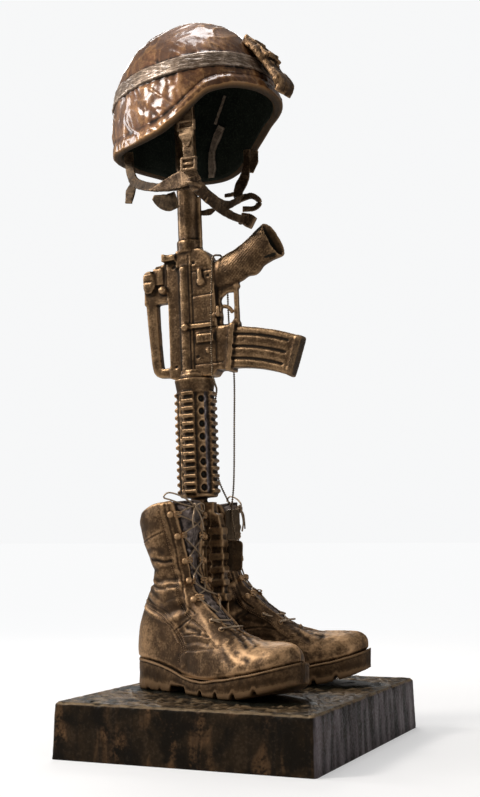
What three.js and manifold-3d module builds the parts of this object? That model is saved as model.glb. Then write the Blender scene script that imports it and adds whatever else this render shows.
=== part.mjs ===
import * as THREE from "three";
import { mergeVertices } from "three/addons/utils/BufferGeometryUtils.js";
import Module from "manifold-3d";

const wasm = await Module();
wasm.setup();

// Driving dimensions, in millimetres. +X is the way the toes and the magazine
// point, +Y is the wearer's left, +Z is up, and the origin is the middle of the underside.
const PLINTH = { deep: 394, wide: 482, high: 80, draft: 2.5, relief: 4, chip: 1.5 };
const GAP = 0.3;

const BOOT = {
  long: 316,
  sole: 27,
  spring: 26,
  springFrom: 0.68,
  wall: 5,
  hollowFrom: 120,
  laceWide: 4.6,
  hookWide: 9,
  laceStandOff: 5,
};
const RIGHT_BOOT = { x: -157, y: -24.5, turn: -20 };
const LEFT_BOOT = { x: -151, y: 60, turn: 11 };

const RIFLE = {
  footX: -73.6,
  footY: 11.5,
  lean: 2.3,
  tube: 17.5,
  receiverTop: 686,
  receiverLow: 480,
  upper: 16,
  lower: 17,
  guardTop: 458,
  guardLow: 292,
  rail: 33,
  ribs: 14,
  barrel: 9,
  muzzle: 96,
};

const MAGAZINE = {
  root: 58,
  end: 169,
  middle: 523,
  droop: 22,
  turn: 18,
  half: 11.5,
  rootTall: 33,
  endTall: 31.5,
};

const HELMET = {
  x: -82,
  y: 7,
  z: 949,
  yaw: -8.3,
  brow: 8.1,
  roll: -0.6,
  long: 140,
  nape: 4,
  wide: 120,
  high: 187,
  shell: 10,
  bandLow: 66,
  bandHigh: 92,
  band: 3,
};

const TAG = { wide: 29, long: 48, thick: 2.2, corner: 7 };
const CHAIN = { radius: 1.5, sides: 4 };

const rad = THREE.MathUtils.degToRad;
const lerp = THREE.MathUtils.lerp;
const clamp = THREE.MathUtils.clamp;
const smooth = (low, high, x) => THREE.MathUtils.smoothstep(x, low, high);
const V = (x, y, z) => new THREE.Vector3(x, y, z);

// Straight-line reading of a table of [place, value] rows.
function table(rows, x) {
  if (x <= rows[0][0]) return rows[0][1];
  for (let i = 1; i < rows.length; i++) {
    const [b, vb] = rows[i];
    if (x <= b) {
      const [a, va] = rows[i - 1];
      return lerp(va, vb, (x - a) / (b - a));
    }
  }
  return rows[rows.length - 1][1];
}

// A closed geometry as a solid that can be joined and cut.
function solid(geometry) {
  const bare = geometry.clone();
  for (const name of Object.keys(bare.attributes)) {
    if (name !== "position") bare.deleteAttribute(name);
  }
  const merged = mergeVertices(bare, 1e-4);
  return new wasm.Manifold(
    new wasm.Mesh({
      numProp: 3,
      vertProperties: new Float32Array(merged.attributes.position.array),
      triVerts: new Uint32Array(merged.index.array),
    }),
  );
}

const join = (pieces) => pieces.reduce((all, one) => all.add(one));
const cut = (body, pieces) => pieces.reduce((left, one) => left.subtract(one), body);

function namedMesh(name, made, finish) {
  const mesh = made.getMesh();
  const geometry = new THREE.BufferGeometry();
  geometry.setAttribute("position", new THREE.BufferAttribute(mesh.vertProperties, 3));
  geometry.setIndex(new THREE.BufferAttribute(mesh.triVerts, 1));
  const result = new THREE.Mesh(geometry, finish);
  result.name = name;
  return result;
}

// A skin through rings of equal count, closed at both ends on each ring's middle.
function loft(rings) {
  const n = rings[0].length;
  const flat = [];
  for (const ring of rings) for (const p of ring) flat.push(p.x, p.y, p.z);
  const index = [];
  for (let k = 0; k + 1 < rings.length; k++) {
    for (let i = 0; i < n; i++) {
      const j = (i + 1) % n;
      const [a, b, c, d] = [k * n + i, k * n + j, (k + 1) * n + i, (k + 1) * n + j];
      index.push(a, b, d, a, d, c);
    }
  }
  for (const [k, first] of [[0, true], [rings.length - 1, false]]) {
    const middle = V(0, 0, 0);
    for (const p of rings[k]) middle.addScaledVector(p, 1 / n);
    const m = flat.length / 3;
    flat.push(middle.x, middle.y, middle.z);
    for (let i = 0; i < n; i++) {
      const [a, b] = [k * n + i, k * n + ((i + 1) % n)];
      index.push(...(first ? [m, b, a] : [m, a, b]));
    }
  }
  const geometry = new THREE.BufferGeometry();
  geometry.setAttribute("position", new THREE.Float32BufferAttribute(flat, 3));
  geometry.setIndex(index);
  return geometry;
}

// A loft whose rings may run either way round: it is turned to face outwards.
function lofted(rings) {
  const geometry = loft(rings);
  const p = geometry.attributes.position;
  const index = geometry.index.array;
  let volume = 0;
  const [a, b, c] = [V(0, 0, 0), V(0, 0, 0), V(0, 0, 0)];
  for (let i = 0; i < index.length; i += 3) {
    a.fromBufferAttribute(p, index[i]);
    b.fromBufferAttribute(p, index[i + 1]);
    c.fromBufferAttribute(p, index[i + 2]);
    volume += a.dot(b.cross(c));
  }
  if (volume < 0) {
    for (let i = 0; i < index.length; i += 3) {
      [index[i + 1], index[i + 2]] = [index[i + 2], index[i + 1]];
    }
  }
  return solid(geometry);
}

const box = (x0, x1, y0, y1, z0, z1) =>
  solid(
    new THREE.BoxGeometry(x1 - x0, y1 - y0, z1 - z0)
      .translate((x0 + x1) / 2, (y0 + y1) / 2, (z0 + z1) / 2),
  );

// A plate drawn in X and Z and centred on y.
function plateGeometry(outline, thick, y = 0) {
  const shape = new THREE.Shape(outline.map(([x, z]) => new THREE.Vector2(x, z)));
  const geometry = new THREE.ExtrudeGeometry(shape, { depth: thick, bevelEnabled: false });
  return geometry.rotateX(Math.PI / 2).translate(0, y + thick / 2, 0);
}

const plate = (outline, thick, y) => solid(plateGeometry(outline, thick, y));

// A round bar between two points.
function rod(from, to, radius, sides = 12, endRadius = radius) {
  const length = from.distanceTo(to);
  const geometry = new THREE.CylinderGeometry(endRadius, radius, length, sides);
  const turn = new THREE.Quaternion().setFromUnitVectors(V(0, 1, 0), to.clone().sub(from).normalize());
  const middle = from.clone().add(to).multiplyScalar(0.5);
  geometry.applyMatrix4(new THREE.Matrix4().compose(middle, turn, V(1, 1, 1)));
  return solid(geometry);
}

// A flat strap along points, its width held along one direction.
function strap(points, across, wide, thick) {
  const rings = points.map((p, i) => {
    const before = points[Math.max(i - 1, 0)];
    const after = points[Math.min(i + 1, points.length - 1)];
    const along = after.clone().sub(before).normalize();
    const side = across.clone().addScaledVector(along, -across.dot(along)).normalize();
    const out = along.clone().cross(side);
    const width = Array.isArray(wide) ? wide[i] : wide;
    return [[1, 1], [-1, 1], [-1, -1], [1, -1]].map(([s, o]) =>
      p.clone().addScaledVector(side, (s * width) / 2).addScaledVector(out, (o * thick) / 2),
    );
  });
  return lofted(rings);
}

const smoothLine = (points, count) => new THREE.CatmullRomCurve3(points).getSpacedPoints(count);

// Plinth: a cast block with rough ground on top and slightly broken edges.
function roughness(x, y) {
  const coarse = Math.sin(x * 0.045 + 1.3) * Math.cos(y * 0.038 - 0.6);
  const fine = Math.sin(x * 0.11 + y * 0.07) * Math.cos(y * 0.12 - x * 0.05 + 2);
  return 0.5 + 0.3 * coarse + 0.2 * fine;
}

function plinth() {
  const [nx, ny] = [10, 12];
  const { deep, wide, high, draft, relief, chip } = PLINTH;
  const place = (i, j, top) => {
    const x = lerp(-deep / 2, deep / 2, i / nx) * (1 - (top ? (2 * draft) / deep : 0));
    const y = lerp(-wide / 2, wide / 2, j / ny) * (1 - (top ? (2 * draft) / wide : 0));
    if (!top) return V(x, y, 0);
    const edge = Math.min(i, nx - i, j, ny - j) === 0;
    const drop = edge ? chip : relief * (1 - roughness(x, y));
    return V(x, y, high - drop);
  };
  const rim = [];
  for (let i = 0; i < nx; i++) rim.push([i, 0]);
  for (let j = 0; j < ny; j++) rim.push([nx, j]);
  for (let i = nx; i > 0; i--) rim.push([i, ny]);
  for (let j = ny; j > 0; j--) rim.push([0, j]);
  const flat = [];
  const index = [];
  const add = (p) => flat.push(p.x, p.y, p.z) / 3 - 1;
  const grid = [];
  for (let i = 0; i <= nx; i++) {
    grid.push([]);
    for (let j = 0; j <= ny; j++) grid[i].push(add(place(i, j, true)));
  }
  for (let i = 0; i < nx; i++) {
    for (let j = 0; j < ny; j++) {
      const [a, b, c, d] = [grid[i][j], grid[i + 1][j], grid[i + 1][j + 1], grid[i][j + 1]];
      index.push(a, b, c, a, c, d);
    }
  }
  const foot = rim.map(([i, j]) => add(place(i, j, false)));
  const middle = add(V(0, 0, 0));
  rim.forEach(([i, j], k) => {
    const next = (k + 1) % rim.length;
    const [ni, nj] = rim[next];
    index.push(foot[k], foot[next], grid[ni][nj], foot[k], grid[ni][nj], grid[i][j]);
    index.push(middle, foot[next], foot[k]);
  });
  const geometry = new THREE.BufferGeometry();
  geometry.setAttribute("position", new THREE.Float32BufferAttribute(flat, 3));
  geometry.setIndex(index);
  return solid(geometry);
}

// Boots: u runs forward from the heel, v out to the wearer's outer side, h up from the ground.
const BACK = [
  [27, 2], [42, -3], [59, -6], [87, -4], [110, 3], [132, 10], [150, 19], [163, 32],
  [178, 30], [196, 21], [215, 11], [240, 6], [262, 2], [275, 4],
];
const FRONT = [
  [27, 310], [45, 311], [58, 309], [68, 304], [77, 294], [83, 276], [86, 240], [89, 214],
  [94, 193], [105, 180], [118, 166], [134, 146], [150, 125], [164, 111], [178, 106],
  [210, 105], [250, 107], [262, 109], [275, 105],
];
const OUTER = [
  [0, 37], [70, 38], [110, 39], [158, 48], [196, 53],
  [228, 54], [260, 49], [285, 40], [304, 25], [316, 6],
];
const INNER = [
  [0, 37], [70, 37], [110, 35], [158, 38], [196, 45],
  [228, 49], [260, 47], [285, 40], [304, 27], [316, 8],
];

// Height of the sole's upper edge along the boot: thick at the heel, thin at the arch.
const WELT = [
  [0, 46], [40, 44], [72, 39], [96, 33], [118, 26], [145, 22],
  [172, 22], [200, 27], [240, 32], [280, 31], [316, 28],
];

// How high the upper reaches at u, read from the front profile the other way round.
function topOver(u) {
  const rows = FRONT.filter(([h]) => h >= 58 && h <= 178).map(([h, f]) => [f, h]).reverse();
  return u < rows[0][0] ? rows[0][1] + (rows[0][0] - u) * 9 : table(rows, u);
}

function halfWidth(u, h, side) {
  const back = table(BACK, h);
  const front = table(FRONT, h);
  const foot = table(side > 0 ? OUTER : INNER, u) - 3;
  const rise = clamp((h - BOOT.sole) / (topOver(u) - BOOT.sole), 0, 1);
  const arch = Math.pow(1 - Math.pow(rise, 2.3), 1 / 2.3);
  const shaft = table([[120, 38], [160, 38], [180, 40], [215, 44], [250, 46], [262, 48], [275, 45]], h);
  const body = lerp(foot * arch, shaft - (side > 0 ? 0 : 5 * smooth(150, 215, h)), smooth(110, 175, h));
  const heel = clamp((u - back) / 42, 0, 1);
  const toe = clamp((front - u) / lerp(26, 56, smooth(110, 175, h)), 0, 1);
  const round = (s) => Math.sqrt(Math.max(0, 1 - (1 - s) * (1 - s)));
  return Math.max(body * round(heel) * round(toe), 0);
}

const lift = (u, h) => {
  const bend = clamp((u / BOOT.long - BOOT.springFrom) / (1 - BOOT.springFrom), 0, 1);
  const collar = table([[0, -20], [22, -11], [60, 0], [105, 9]], u) * smooth(200, 275, h);
  return BOOT.spring * Math.pow(bend, 1.7) * (1 - smooth(40, 130, h)) + collar;
};

const bootPoint = (u, v, h) => V(u, -v, h + lift(u, h));

function bootRing(h, inset = 0, steps = 7) {
  const back = table(BACK, h) + inset;
  const front = table(FRONT, h) - inset;
  const ring = [];
  for (let i = 0; i <= 2 * steps - 1; i++) {
    const side = i <= steps ? 1 : -1;
    const t = i <= steps ? i / steps : (2 * steps - i) / steps;
    const u = lerp(back, front, (1 - Math.cos(Math.PI * t)) / 2);
    const v = i % steps === 0 ? 0 : Math.max(halfWidth(u, h, side) - inset, 0.4);
    ring.push(bootPoint(u, side * v, h));
  }
  return ring;
}

// The place on the front of the upper at height h, v out from the middle.
function onFront(h, v, out = 0) {
  let u = table(FRONT, h);
  while (u > 20 && halfWidth(u, h, v) < Math.abs(v)) u -= 1;
  return bootPoint(u + out, v, h);
}

function outsole() {
  const rows = [0, 0.03, 0.11, 0.24, 0.42, 0.6, 0.76, 0.88, 0.96, 1];
  const edge = (side) => rows.map((s) => {
    const u = s * BOOT.long;
    const w = table(side > 0 ? OUTER : INNER, u) + 1.5;
    return [u, side * w * Math.sqrt(1 - Math.pow(1 - clamp(s / 0.13, 0, 1), 2))];
  });
  const outline = [...edge(1), ...edge(-1).reverse().slice(0, -1)];
  const ring = (h, grow) => outline.map(([u, v]) => bootPoint(u, v * grow, h));
  const welt = (drop, grow) => outline.map(([u, v]) => bootPoint(u, v * grow, table(WELT, u) - drop));
  const slab = lofted([ring(0, 0.975), ring(5, 1), welt(3, 1), welt(0, 0.955)]);
  const cuts = [box(92, 128, -70, 70, -5, 9)];
  for (let k = 0; k < 4; k++) {
    const u = 160 + k * 34;
    const z = lift(u, 0);
    cuts.push(box(u, u + 9, -70, 70, z - 9, z + 7));
  }
  return cut(slab, cuts);
}

function boot() {
  const heights = [22, 48, 70, 81, 88, 100, 124, 154, 178, 210, 248, 275];
  const upper = lofted(heights.map((h) => bootRing(h)));
  const inside = [BOOT.hollowFrom, 154, 178, 210, 248, 275, 292].map((h) => bootRing(h, BOOT.wall));
  // Hooks in pairs down the front, and the lace that crosses between them.
  const rows = [[256, 32], [214, 32], [174, 30], [138, 27], [107, 23]];
  const { laceWide, hookWide, laceStandOff } = BOOT;
  const laces = [1, -1].map((first) => {
    const line = [];
    rows.forEach(([h, v], i) => {
      if (i > 0) line.push(onFront((rows[i - 1][0] + h) / 2, 0, laceStandOff));
      line.push(onFront(h, (i % 2 ? -first : first) * v, 1));
    });
    const width = line.map((_, i) => (i % 2 ? laceWide : hookWide));
    return strap(line, V(0.3, 0, 1), width, laceWide);
  });
  const bow = [[-6, -24], [0, -8], [0, 8], [-6, 24]].map(([x, y]) => V(x, y, 0).add(onFront(258, 0)));
  laces.push(strap(bow, V(0, 0, 1), hookWide, 2 * laceWide));
  return join([cut(join([upper, outsole()]), [lofted(inside)]), ...laces]);
}

// Rifle: drawn muzzle down in its own frame, x to the magazine side, z up along the barrel,
// z = 0 at the ground, then leaned back on its foot.
function handguard() {
  const { guardTop, guardLow, rail, ribs } = RIFLE;
  const long = guardTop - guardLow;
  const pitch = long / ribs;
  const comb = [[20, guardLow], [rail - 4, guardLow]];
  for (let k = 0; k < ribs; k++) {
    const z = guardLow + k * pitch;
    comb.push([rail - 4, z + pitch * 0.3], [rail, z + pitch * 0.34], [rail, z + pitch * 0.86]);
  }
  comb.push([rail - 4, guardTop], [20, guardTop]);
  const core = rod(V(0, 0, guardLow), V(0, 0, guardTop), 27, 16);
  const bars = [0, 90, 180, 270].map((turn) => solid(plateGeometry(comb, 20).rotateZ(rad(turn))));
  const holes = [];
  for (let k = 0; k < 8; k++) {
    const z = guardLow + 13 + k * 20;
    const d = V(1, -1, 0).normalize();
    holes.push(rod(V(d.x * 19, d.y * 19, z), V(d.x * 34, d.y * 34, z), 4.6, 6));
  }
  return cut(join([core, ...bars]), holes);
}

function receiver() {
  const { receiverTop, receiverLow, upper, lower } = RIFLE;
  const barrelHousing = rod(V(0, 0, receiverLow), V(0, 0, receiverTop), upper, 14);
  const upperBody = plate([[-38, 482], [-15, 474], [6, 474], [6, 684], [-38, 676]], 22);
  const lowerLine = [
    [2, 480], [38, 480], [45, 496], [69, 498], [66, 556],
    [48, 558], [45, 640], [44, 660], [38, 674], [2, 680],
  ];
  const lowerBody = plate(lowerLine, 2 * lower - 4);
  const magwellLip = box(60, 69, -lower, lower, 496, 558);
  const seam = box(2, 7, -lower, lower, 484, 680);
  const ridge = rod(V(-6, -12, 484), V(-6, -12, 660), 9, 8);
  const portCover = box(-14, 3, 13, 18.5, 520, 600);
  const endPlate = plate([[-20, 660], [41, 658], [40, 668], [34, 680], [24, 687], [-20, 687]], 32);
  const nut = rod(V(-1, 0, 684), V(-1, 0, 703), 20.5, 12);
  const charge = box(-43, -20, -22, 22, 671, 683);
  const bits = [
    rod(V(24, -20.5, 632), V(24, 18, 632), 6.5, 8),
    plate([[20, 628], [28, 628], [25, 654], [19, 652]], 4, -18),
    rod(V(-3, -19, 561), V(-3, 0, 561), 5.5, 8),
    box(0, 41, -18.5, -12, 557, 566),
    box(13, 42, -19.5, -12, 534, 548),
    rod(V(52, -18.5, 576), V(52, 0, 576), 3.5, 6),
    rod(V(34, 0, 602), V(34, 20, 602), 5, 8),
  ];
  return [
    barrelHousing, upperBody, lowerBody, magwellLip, seam, ridge,
    portCover, endPlate, nut, charge, ...bits,
  ];
}

function carryHandle() {
  const outline = [
    [-38, 484], [-62, 484], [-70, 494], [-72, 510], [-82, 625],
    [-80, 642], [-60, 650], [-60, 668], [-36, 672],
  ];
  const side = plate(outline, 18);
  const window = plate([[-40, 502], [-56, 502], [-60, 604], [-43, 606]], 40);
  return [
    cut(side, [window]),
    rod(V(-69, -17, 643), V(-69, 15, 643), 13.5, 12),
    rod(V(-44, -20, 626), V(-44, 12, 626), 6.5, 8),
    box(-62, -46, -13, 13, 636, 664),
  ];
}

function grip() {
  const [root, end] = [V(46, 0, 640), V(144, 0, 687)];
  const along = end.clone().sub(root).normalize();
  const up = V(-along.z, 0, along.x);
  const rows = [
    [0, 23, 13, 0], [0.3, 26.5, 14.5, -3], [0.57, 28, 14.5, -4.5], [0.76, 27, 14.5, 0], [1, 32, 16, 0],
  ];
  const ring = ([s, tall, half, shift], shrink = 0, push = 0) => {
    const middle = root.clone().lerp(end, s).addScaledVector(along, push).addScaledVector(up, shift);
    return Array.from({ length: 12 }, (_, i) => {
      const t = (i / 12) * 2 * Math.PI;
      const out = Math.cos(t) * (tall - shrink);
      return middle.clone().addScaledVector(up, out).add(V(0, Math.sin(t) * (half - shrink), 0));
    });
  };
  const body = lofted(rows.map((row) => ring(row)));
  const last = rows[rows.length - 1];
  const mouth = lofted([ring(last, 8, -16), ring(last, 5, 2)]);
  return cut(body, [mouth]);
}

// The place s along the magazine's curved middle line, across its height and out to one side.
function inMagazine(s, across, out) {
  const { root, end, middle, droop, turn } = MAGAZINE;
  const tilt = rad(turn * s);
  return V(
    lerp(root, end, s) + across * Math.sin(tilt), out, middle - droop * s * s + across * Math.cos(tilt),
  );
}

function magazine() {
  const { half, rootTall, endTall } = MAGAZINE;
  const section = [
    [-1, -0.7], [-0.86, -1], [0.86, -1], [1, -0.7], [1, 0.7], [0.86, 1], [-0.86, 1], [-1, 0.7],
  ];
  const rings = [0, 0.2, 0.4, 0.6, 0.8, 1].map((s) => {
    const tall = lerp(rootTall, endTall, s);
    return section.map(([z, y]) => inMagazine(s, z * tall, y * half));
  });
  const body = lofted(rings);
  const groove = (across, side) => {
    const line = [0.14, 0.33, 0.52, 0.71, 0.9].map((s) => inMagazine(s, across, side * 12.2));
    return strap(line, V(0, 0, 1), 6, 3.4);
  };
  const grooves = [-17, 0, 17].flatMap((offset) => [groove(offset, -1), groove(offset, 1)]);
  const floor = plate([[160, 466], [167, 463], [186, 525], [178, 529]], 25);
  return join([cut(body, grooves), floor]);
}

function barrelAndBlade() {
  const { barrel, muzzle, guardLow } = RIFLE;
  return [
    rod(V(0, 0, muzzle + 40), V(0, 0, guardLow + 10), barrel, 12),
    rod(V(0, 0, muzzle), V(0, 0, muzzle + 44), 11, 10),
    rod(V(0, 0, 270), V(0, 0, guardLow + 4), 13, 12),
    plate([[-8, 212], [-8, 268], [-34, 262], [-58, 240], [-58, 232], [-28, 226]], 7),
    box(5, 27, -8, 8, 264, 282),
    plate([[20, 136], [40, 136], [41, 236], [36, 262], [20, 268]], 18),
    ...[152, 172, 192, 212, 232].map((z) => box(18, 43, -11, 11, z, z + 10)),
    box(-14, 45, -11, 11, 128, 140),
    plate([[24, 20], [34, GAP], [44, 26], [44, 130], [20, 130]], 5),
  ];
}

function rifle() {
  const { tube, receiverTop } = RIFLE;
  const triggerGuard = cut(
    plate([[44, 556], [44, 620], [80, 626], [80, 560], [66, 552]], 9),
    [plate([[49, 561], [49, 612], [74, 619], [74, 563]], 30)],
  );
  const trigger = plate([[44, 584], [44, 596], [60, 592], [71, 580], [66, 577], [56, 585]], 6);
  const rings = [
    rod(V(0, 0, 456), V(0, 0, 478), 29, 16, 33),
    rod(V(0, 0, 476), V(0, 0, 486), 24, 14),
  ];
  const stock = rod(V(-1.5, 0, receiverTop), V(-1.5, 0, 1045), tube, 16).intersect(helmetHollow());
  return join([
    handguard(), ...rings, ...receiver(), ...carryHandle(), grip(), magazine(),
    triggerGuard, trigger, ...barrelAndBlade(), box(12, 22, -4.5, 4.5, 690, 775), stock,
  ]);
}

// Helmet: x to the brow, y to the wearer's left, z up, then tipped back on the tube.
const RIM = [
  [0, 36], [38, 35], [54, 29], [64, 12], [76, -8],
  [88, -20], [104, -24], [126, -19], [150, -8], [180, -5],
];
const AROUND = 24;

// Height of the rim round the helmet; the wearer's left side hangs a little lower behind the ear.
function rimHeight(degrees, left) {
  const droop = left > 0 ? 5 * smooth(80, 100, degrees) * (1 - smooth(130, 165, degrees)) : 0;
  return table(RIM, degrees) - droop;
}

function helmetPoint(turn, rise, inset, puff) {
  const { long, nape, wide, high } = HELMET;
  const [c, s] = [Math.cos(turn), Math.sin(turn)];
  const flat = 1 / Math.pow(Math.pow(Math.abs(c), 2.15) + Math.pow(Math.abs(s), 2.15), 1 / 2.15);
  const degrees = Math.abs(THREE.MathUtils.radToDeg(Math.atan2(s, c)));
  const rim = rimHeight(degrees, s);
  const crown = high - inset;
  const z = rim + (crown - rim) * Math.sin((rise * Math.PI) / 2);
  const level = clamp(z / crown, 0, 1);
  const reach = z > 0 ? Math.pow(1 - Math.pow(level, 2.3), 1 / 2.3) : 1 - z * 0.0006;
  const pinch = s > 0 ? 9 * Math.exp(-Math.pow((degrees - 69) / 18, 2)) * (1 - level) : 0;
  const out = puff - inset - pinch;
  const x = reach * flat * c * (long + out + (c < 0 ? nape : 0));
  const y = reach * flat * s * (wide + out);
  return V(x, y, z);
}

function helmetRing(rise, inset, puff = 0) {
  const step = (2 * Math.PI) / AROUND;
  return Array.from({ length: AROUND }, (_, i) => helmetPoint(i * step, rise, inset, puff));
}

// The ring of the outer skin at one level height.
function levelRing(z, puff) {
  return Array.from({ length: AROUND }, (_, i) => {
    const turn = (i / AROUND) * 2 * Math.PI;
    const degrees = Math.abs(THREE.MathUtils.radToDeg(Math.atan2(Math.sin(turn), Math.cos(turn))));
    const rim = rimHeight(degrees, Math.sin(turn));
    const rise = Math.asin(clamp((z - rim) / (HELMET.high - rim), 0, 1)) / (Math.PI / 2);
    return helmetPoint(turn, rise, 0, puff);
  });
}

function helmet() {
  const { shell, bandLow, bandHigh, band } = HELMET;
  const outer = [0.985, 0.9, 0.78, 0.64, 0.5].map((rise) => helmetRing(rise, 0));
  const bandRings = [levelRing(bandHigh + 8, 0), levelRing(bandHigh, 0), levelRing(bandHigh - 1.5, band),
    levelRing(bandLow + 1.5, band), levelRing(bandLow, 0)];
  const skirt = [0.07, 0.035].map((rise, i) => helmetRing(rise, 0, i * 3));
  const edge = [helmetRing(0, 0, 2), helmetRing(0, shell - 1, 0)];
  const inner = [0.05, 0.3, 0.5, 0.68, 0.85, 0.985].map((rise) => helmetRing(rise, shell));
  const body = lofted([...outer, ...bandRings, ...skirt, ...edge, ...inner]);
  const plateLine = [[113, 128], [130, 108], [142, 86], [152, 64], [159, 44], [156, 30]];
  const bracket = [
    strap(plateLine.map(([x, z]) => V(x, 0, z)), V(0, 1, 0), [40, 48, 46, 38, 42, 36], 13),
    ...[-16, 16].map((y) => strap([V(121, y, 128), V(140, y, 106), V(150, y, 86)], V(0, 1, 0), 12, 8)),
  ];
  const slide = strap([V(-132, -14, 92), V(-142, -14, 66)], V(0, 1, 0), 22, 10);
  return join([body, ...bracket, slide]);
}

// The space under the helmet, in the frame of the rifle that stands in it.
function helmetHollow() {
  const rings = [0.02, 0.3, 0.5, 0.68, 0.85, 0.985].map((rise) => helmetRing(rise, HELMET.shell + GAP));
  rings.unshift(rings[0].map((p) => V(p.x, p.y, -700)));
  const toRifle = rifleStand.matrix.clone().invert().multiply(helmetStand.matrix);
  return lofted(rings.map((ring) => ring.map((p) => p.applyMatrix4(toRifle))));
}

// Chin strap: webbing, buckles and cup, hanging from inside the rim.
function chinStrap() {
  const web = 3.2;
  const near = [
    V(-50, -97, 968), V(-53, -99, 930), V(-52, -98, 900), V(-50, -93, 866), V(-47, -86, 847),
  ];
  const round = smoothLine([
    V(-47, -86, 847), V(-42, -45, 836), V(-37, 5, 834), V(-28, 58, 858), V(-36, 90, 890), V(-40, 97.5, 951),
  ], 7);
  const lowerLine = smoothLine([V(-44, -50, 834), V(-38, -8, 825), V(-28, 30, 820), V(-20, 58, 820)], 3);
  const rear = smoothLine([
    V(-50, -84, 848), V(-92, -78, 850), V(-128, -68, 856),
    V(-170, -50, 874), V(-186, -38, 905), V(-192, -32, 930),
  ], 5);
  const flap = [V(-52, -90, 862), V(-86, -84, 862), V(-112, -78, 856), V(-130, -75, 850)];
  const cup = [V(-94, -77, 852), V(-104, -66, 840), V(-108, -58, 826)];
  const loop = smoothLine([V(-28, 58, 858), V(-10, 70, 862), V(-6, 72, 850), V(-22, 60, 838)], 4);
  return join([
    strap(near, V(1, 0, 0), [20, 20, 17, 18, 22], web),
    strap(round, V(0.6, 0, 0.8), 19, web),
    strap(lowerLine, V(0.3, 0, 1), 13, web),
    strap(rear, V(0, 0.3, 1), 15, web),
    strap(loop, V(0, 0.3, 1), 14, web),
    strap([V(-170, -50, 876), V(-175, -54, 858), V(-178, -56, 838)], V(1, 0, 0), [8, 17, 12], web),
    strap(flap, V(0.2, 0, 1), [16, 22, 14, 3], web),
    strap(cup, V(1, 0, 0.5), [34, 44, 34], 5),
    box(-67, -39, -104, -94, 924, 936),
    box(-65, -39, -103, -93, 905, 921),
    box(-63, -37, -101, -89, 870, 884),
    box(-34, -10, 50, 66, 808, 834),
    box(-60, -34, 84, 96, 878, 892),
    strap([V(-30, 92, 896), V(-22, 96, 912), V(-20, 98, 934)], V(1, 0, 0), [8, 14, 8], web),
  ]);
}

// Bead chain and tags: two strands from the grip, one down the near side, one in front.
function beadLine(points, steps) {
  const section = new THREE.Shape(Array.from({ length: CHAIN.sides }, (_, i) => {
    const t = (i / CHAIN.sides) * 2 * Math.PI;
    return new THREE.Vector2(Math.cos(t) * CHAIN.radius, Math.sin(t) * CHAIN.radius);
  }));
  const path = new THREE.CatmullRomCurve3(points);
  return solid(new THREE.ExtrudeGeometry(section, { steps, bevelEnabled: false, extrudePath: path }));
}

const CHAIN_TOP = V(-48.6, 11.5, 756);
const CHAIN_KNOT = V(-38, 31, 353);
const NEAR_STRAND = [
  CHAIN_TOP, V(-51, -7, 751), V(-52.7, -10, 735), V(-54.5, -10, 640), V(-53, -10, 578),
  V(-53.5, -8, 562), V(-56, 8, 549), V(-57.5, 20, 541), V(-60, 29, 527), V(-64, 31, 500),
  V(-62, 32, 450), V(-57, 32, 400), CHAIN_KNOT,
];
const FRONT_STRAND = [
  CHAIN_TOP, V(-47, 29, 751), V(-45.5, 32, 735), V(-42, 32, 647), V(-33.6, 32, 568), V(-33, 31, 480),
  V(-34, 31, 397), CHAIN_KNOT,
];
const TAG_STRAND = [CHAIN_KNOT, V(-37, 31, 336), V(-34, 31, 320), V(-31, 30.4, 303.4)];

function tagPlate() {
  const { wide, long, thick, corner } = TAG;
  const outline = [];
  for (const [x, z] of [[1, 0], [1, -1], [-1, -1], [-1, 0]]) {
    const cx = x * (wide / 2);
    const cz = z * long;
    const inward = z === 0 ? -corner : corner;
    const flat = [[cx - x * corner, cz], [cx, cz + inward]];
    outline.push(...(x * (z + 0.5) > 0 ? flat : flat.reverse()));
  }
  return plate(outline, thick);
}

// Where each piece stands.
const rifleStand = stand(V(RIFLE.footX, RIFLE.footY, PLINTH.high), 0, -RIFLE.lean, 0);
const helmetStand = stand(V(HELMET.x, HELMET.y, HELMET.z), HELMET.yaw, -HELMET.brow, HELMET.roll);
const bootStand = ({ x, y, turn }) => stand(V(x, y, PLINTH.high + GAP), turn, 0, 0);
const front = stand(V(-31, 28, 302.6), -8, 2, 0);
const back = stand(V(-39, 35.5, 351.4), 62, -2, 0);

// A group turned about Z, then Y, then X.
function stand(at, turnZ, turnY, turnX) {
  const group = new THREE.Group();
  group.position.copy(at);
  group.rotation.set(rad(turnX), rad(turnY), rad(turnZ), "ZYX");
  group.updateMatrix();
  return group;
}

const metal = (color, roughness) => new THREE.MeshStandardMaterial({ color, roughness, metalness: 0.85 });
const part = new THREE.Group();
const put = (group, ...meshes) => part.add(group.add(...meshes));

const rightBoot = namedMesh("right_boot", boot(), metal(0x6e4e30, 0.4));
const leftBoot = namedMesh("left_boot", boot(), metal(0x6e4e30, 0.4));
leftBoot.scale.y = -1;
put(bootStand(RIGHT_BOOT), rightBoot);
put(bootStand(LEFT_BOOT), leftBoot);
put(rifleStand, namedMesh("rifle", rifle(), metal(0x6a5238, 0.42)));
put(helmetStand, namedMesh("helmet", helmet(), metal(0x85603c, 0.28)));
put(front, namedMesh("dog_tag_front", tagPlate(), metal(0x7a6040, 0.4)));
put(back, namedMesh("dog_tag_back", tagPlate(), metal(0x7a6040, 0.4)));
const chain = join([beadLine(NEAR_STRAND, 27), beadLine(FRONT_STRAND, 16), beadLine(TAG_STRAND, 3)]);
part.add(
  namedMesh("plinth", plinth(), metal(0x3a322b, 0.6)),
  namedMesh("chin_strap", chinStrap(), metal(0x5a4630, 0.45)),
  namedMesh("tag_chain", chain, metal(0x8a6c46, 0.35)),
);

export default part;
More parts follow.
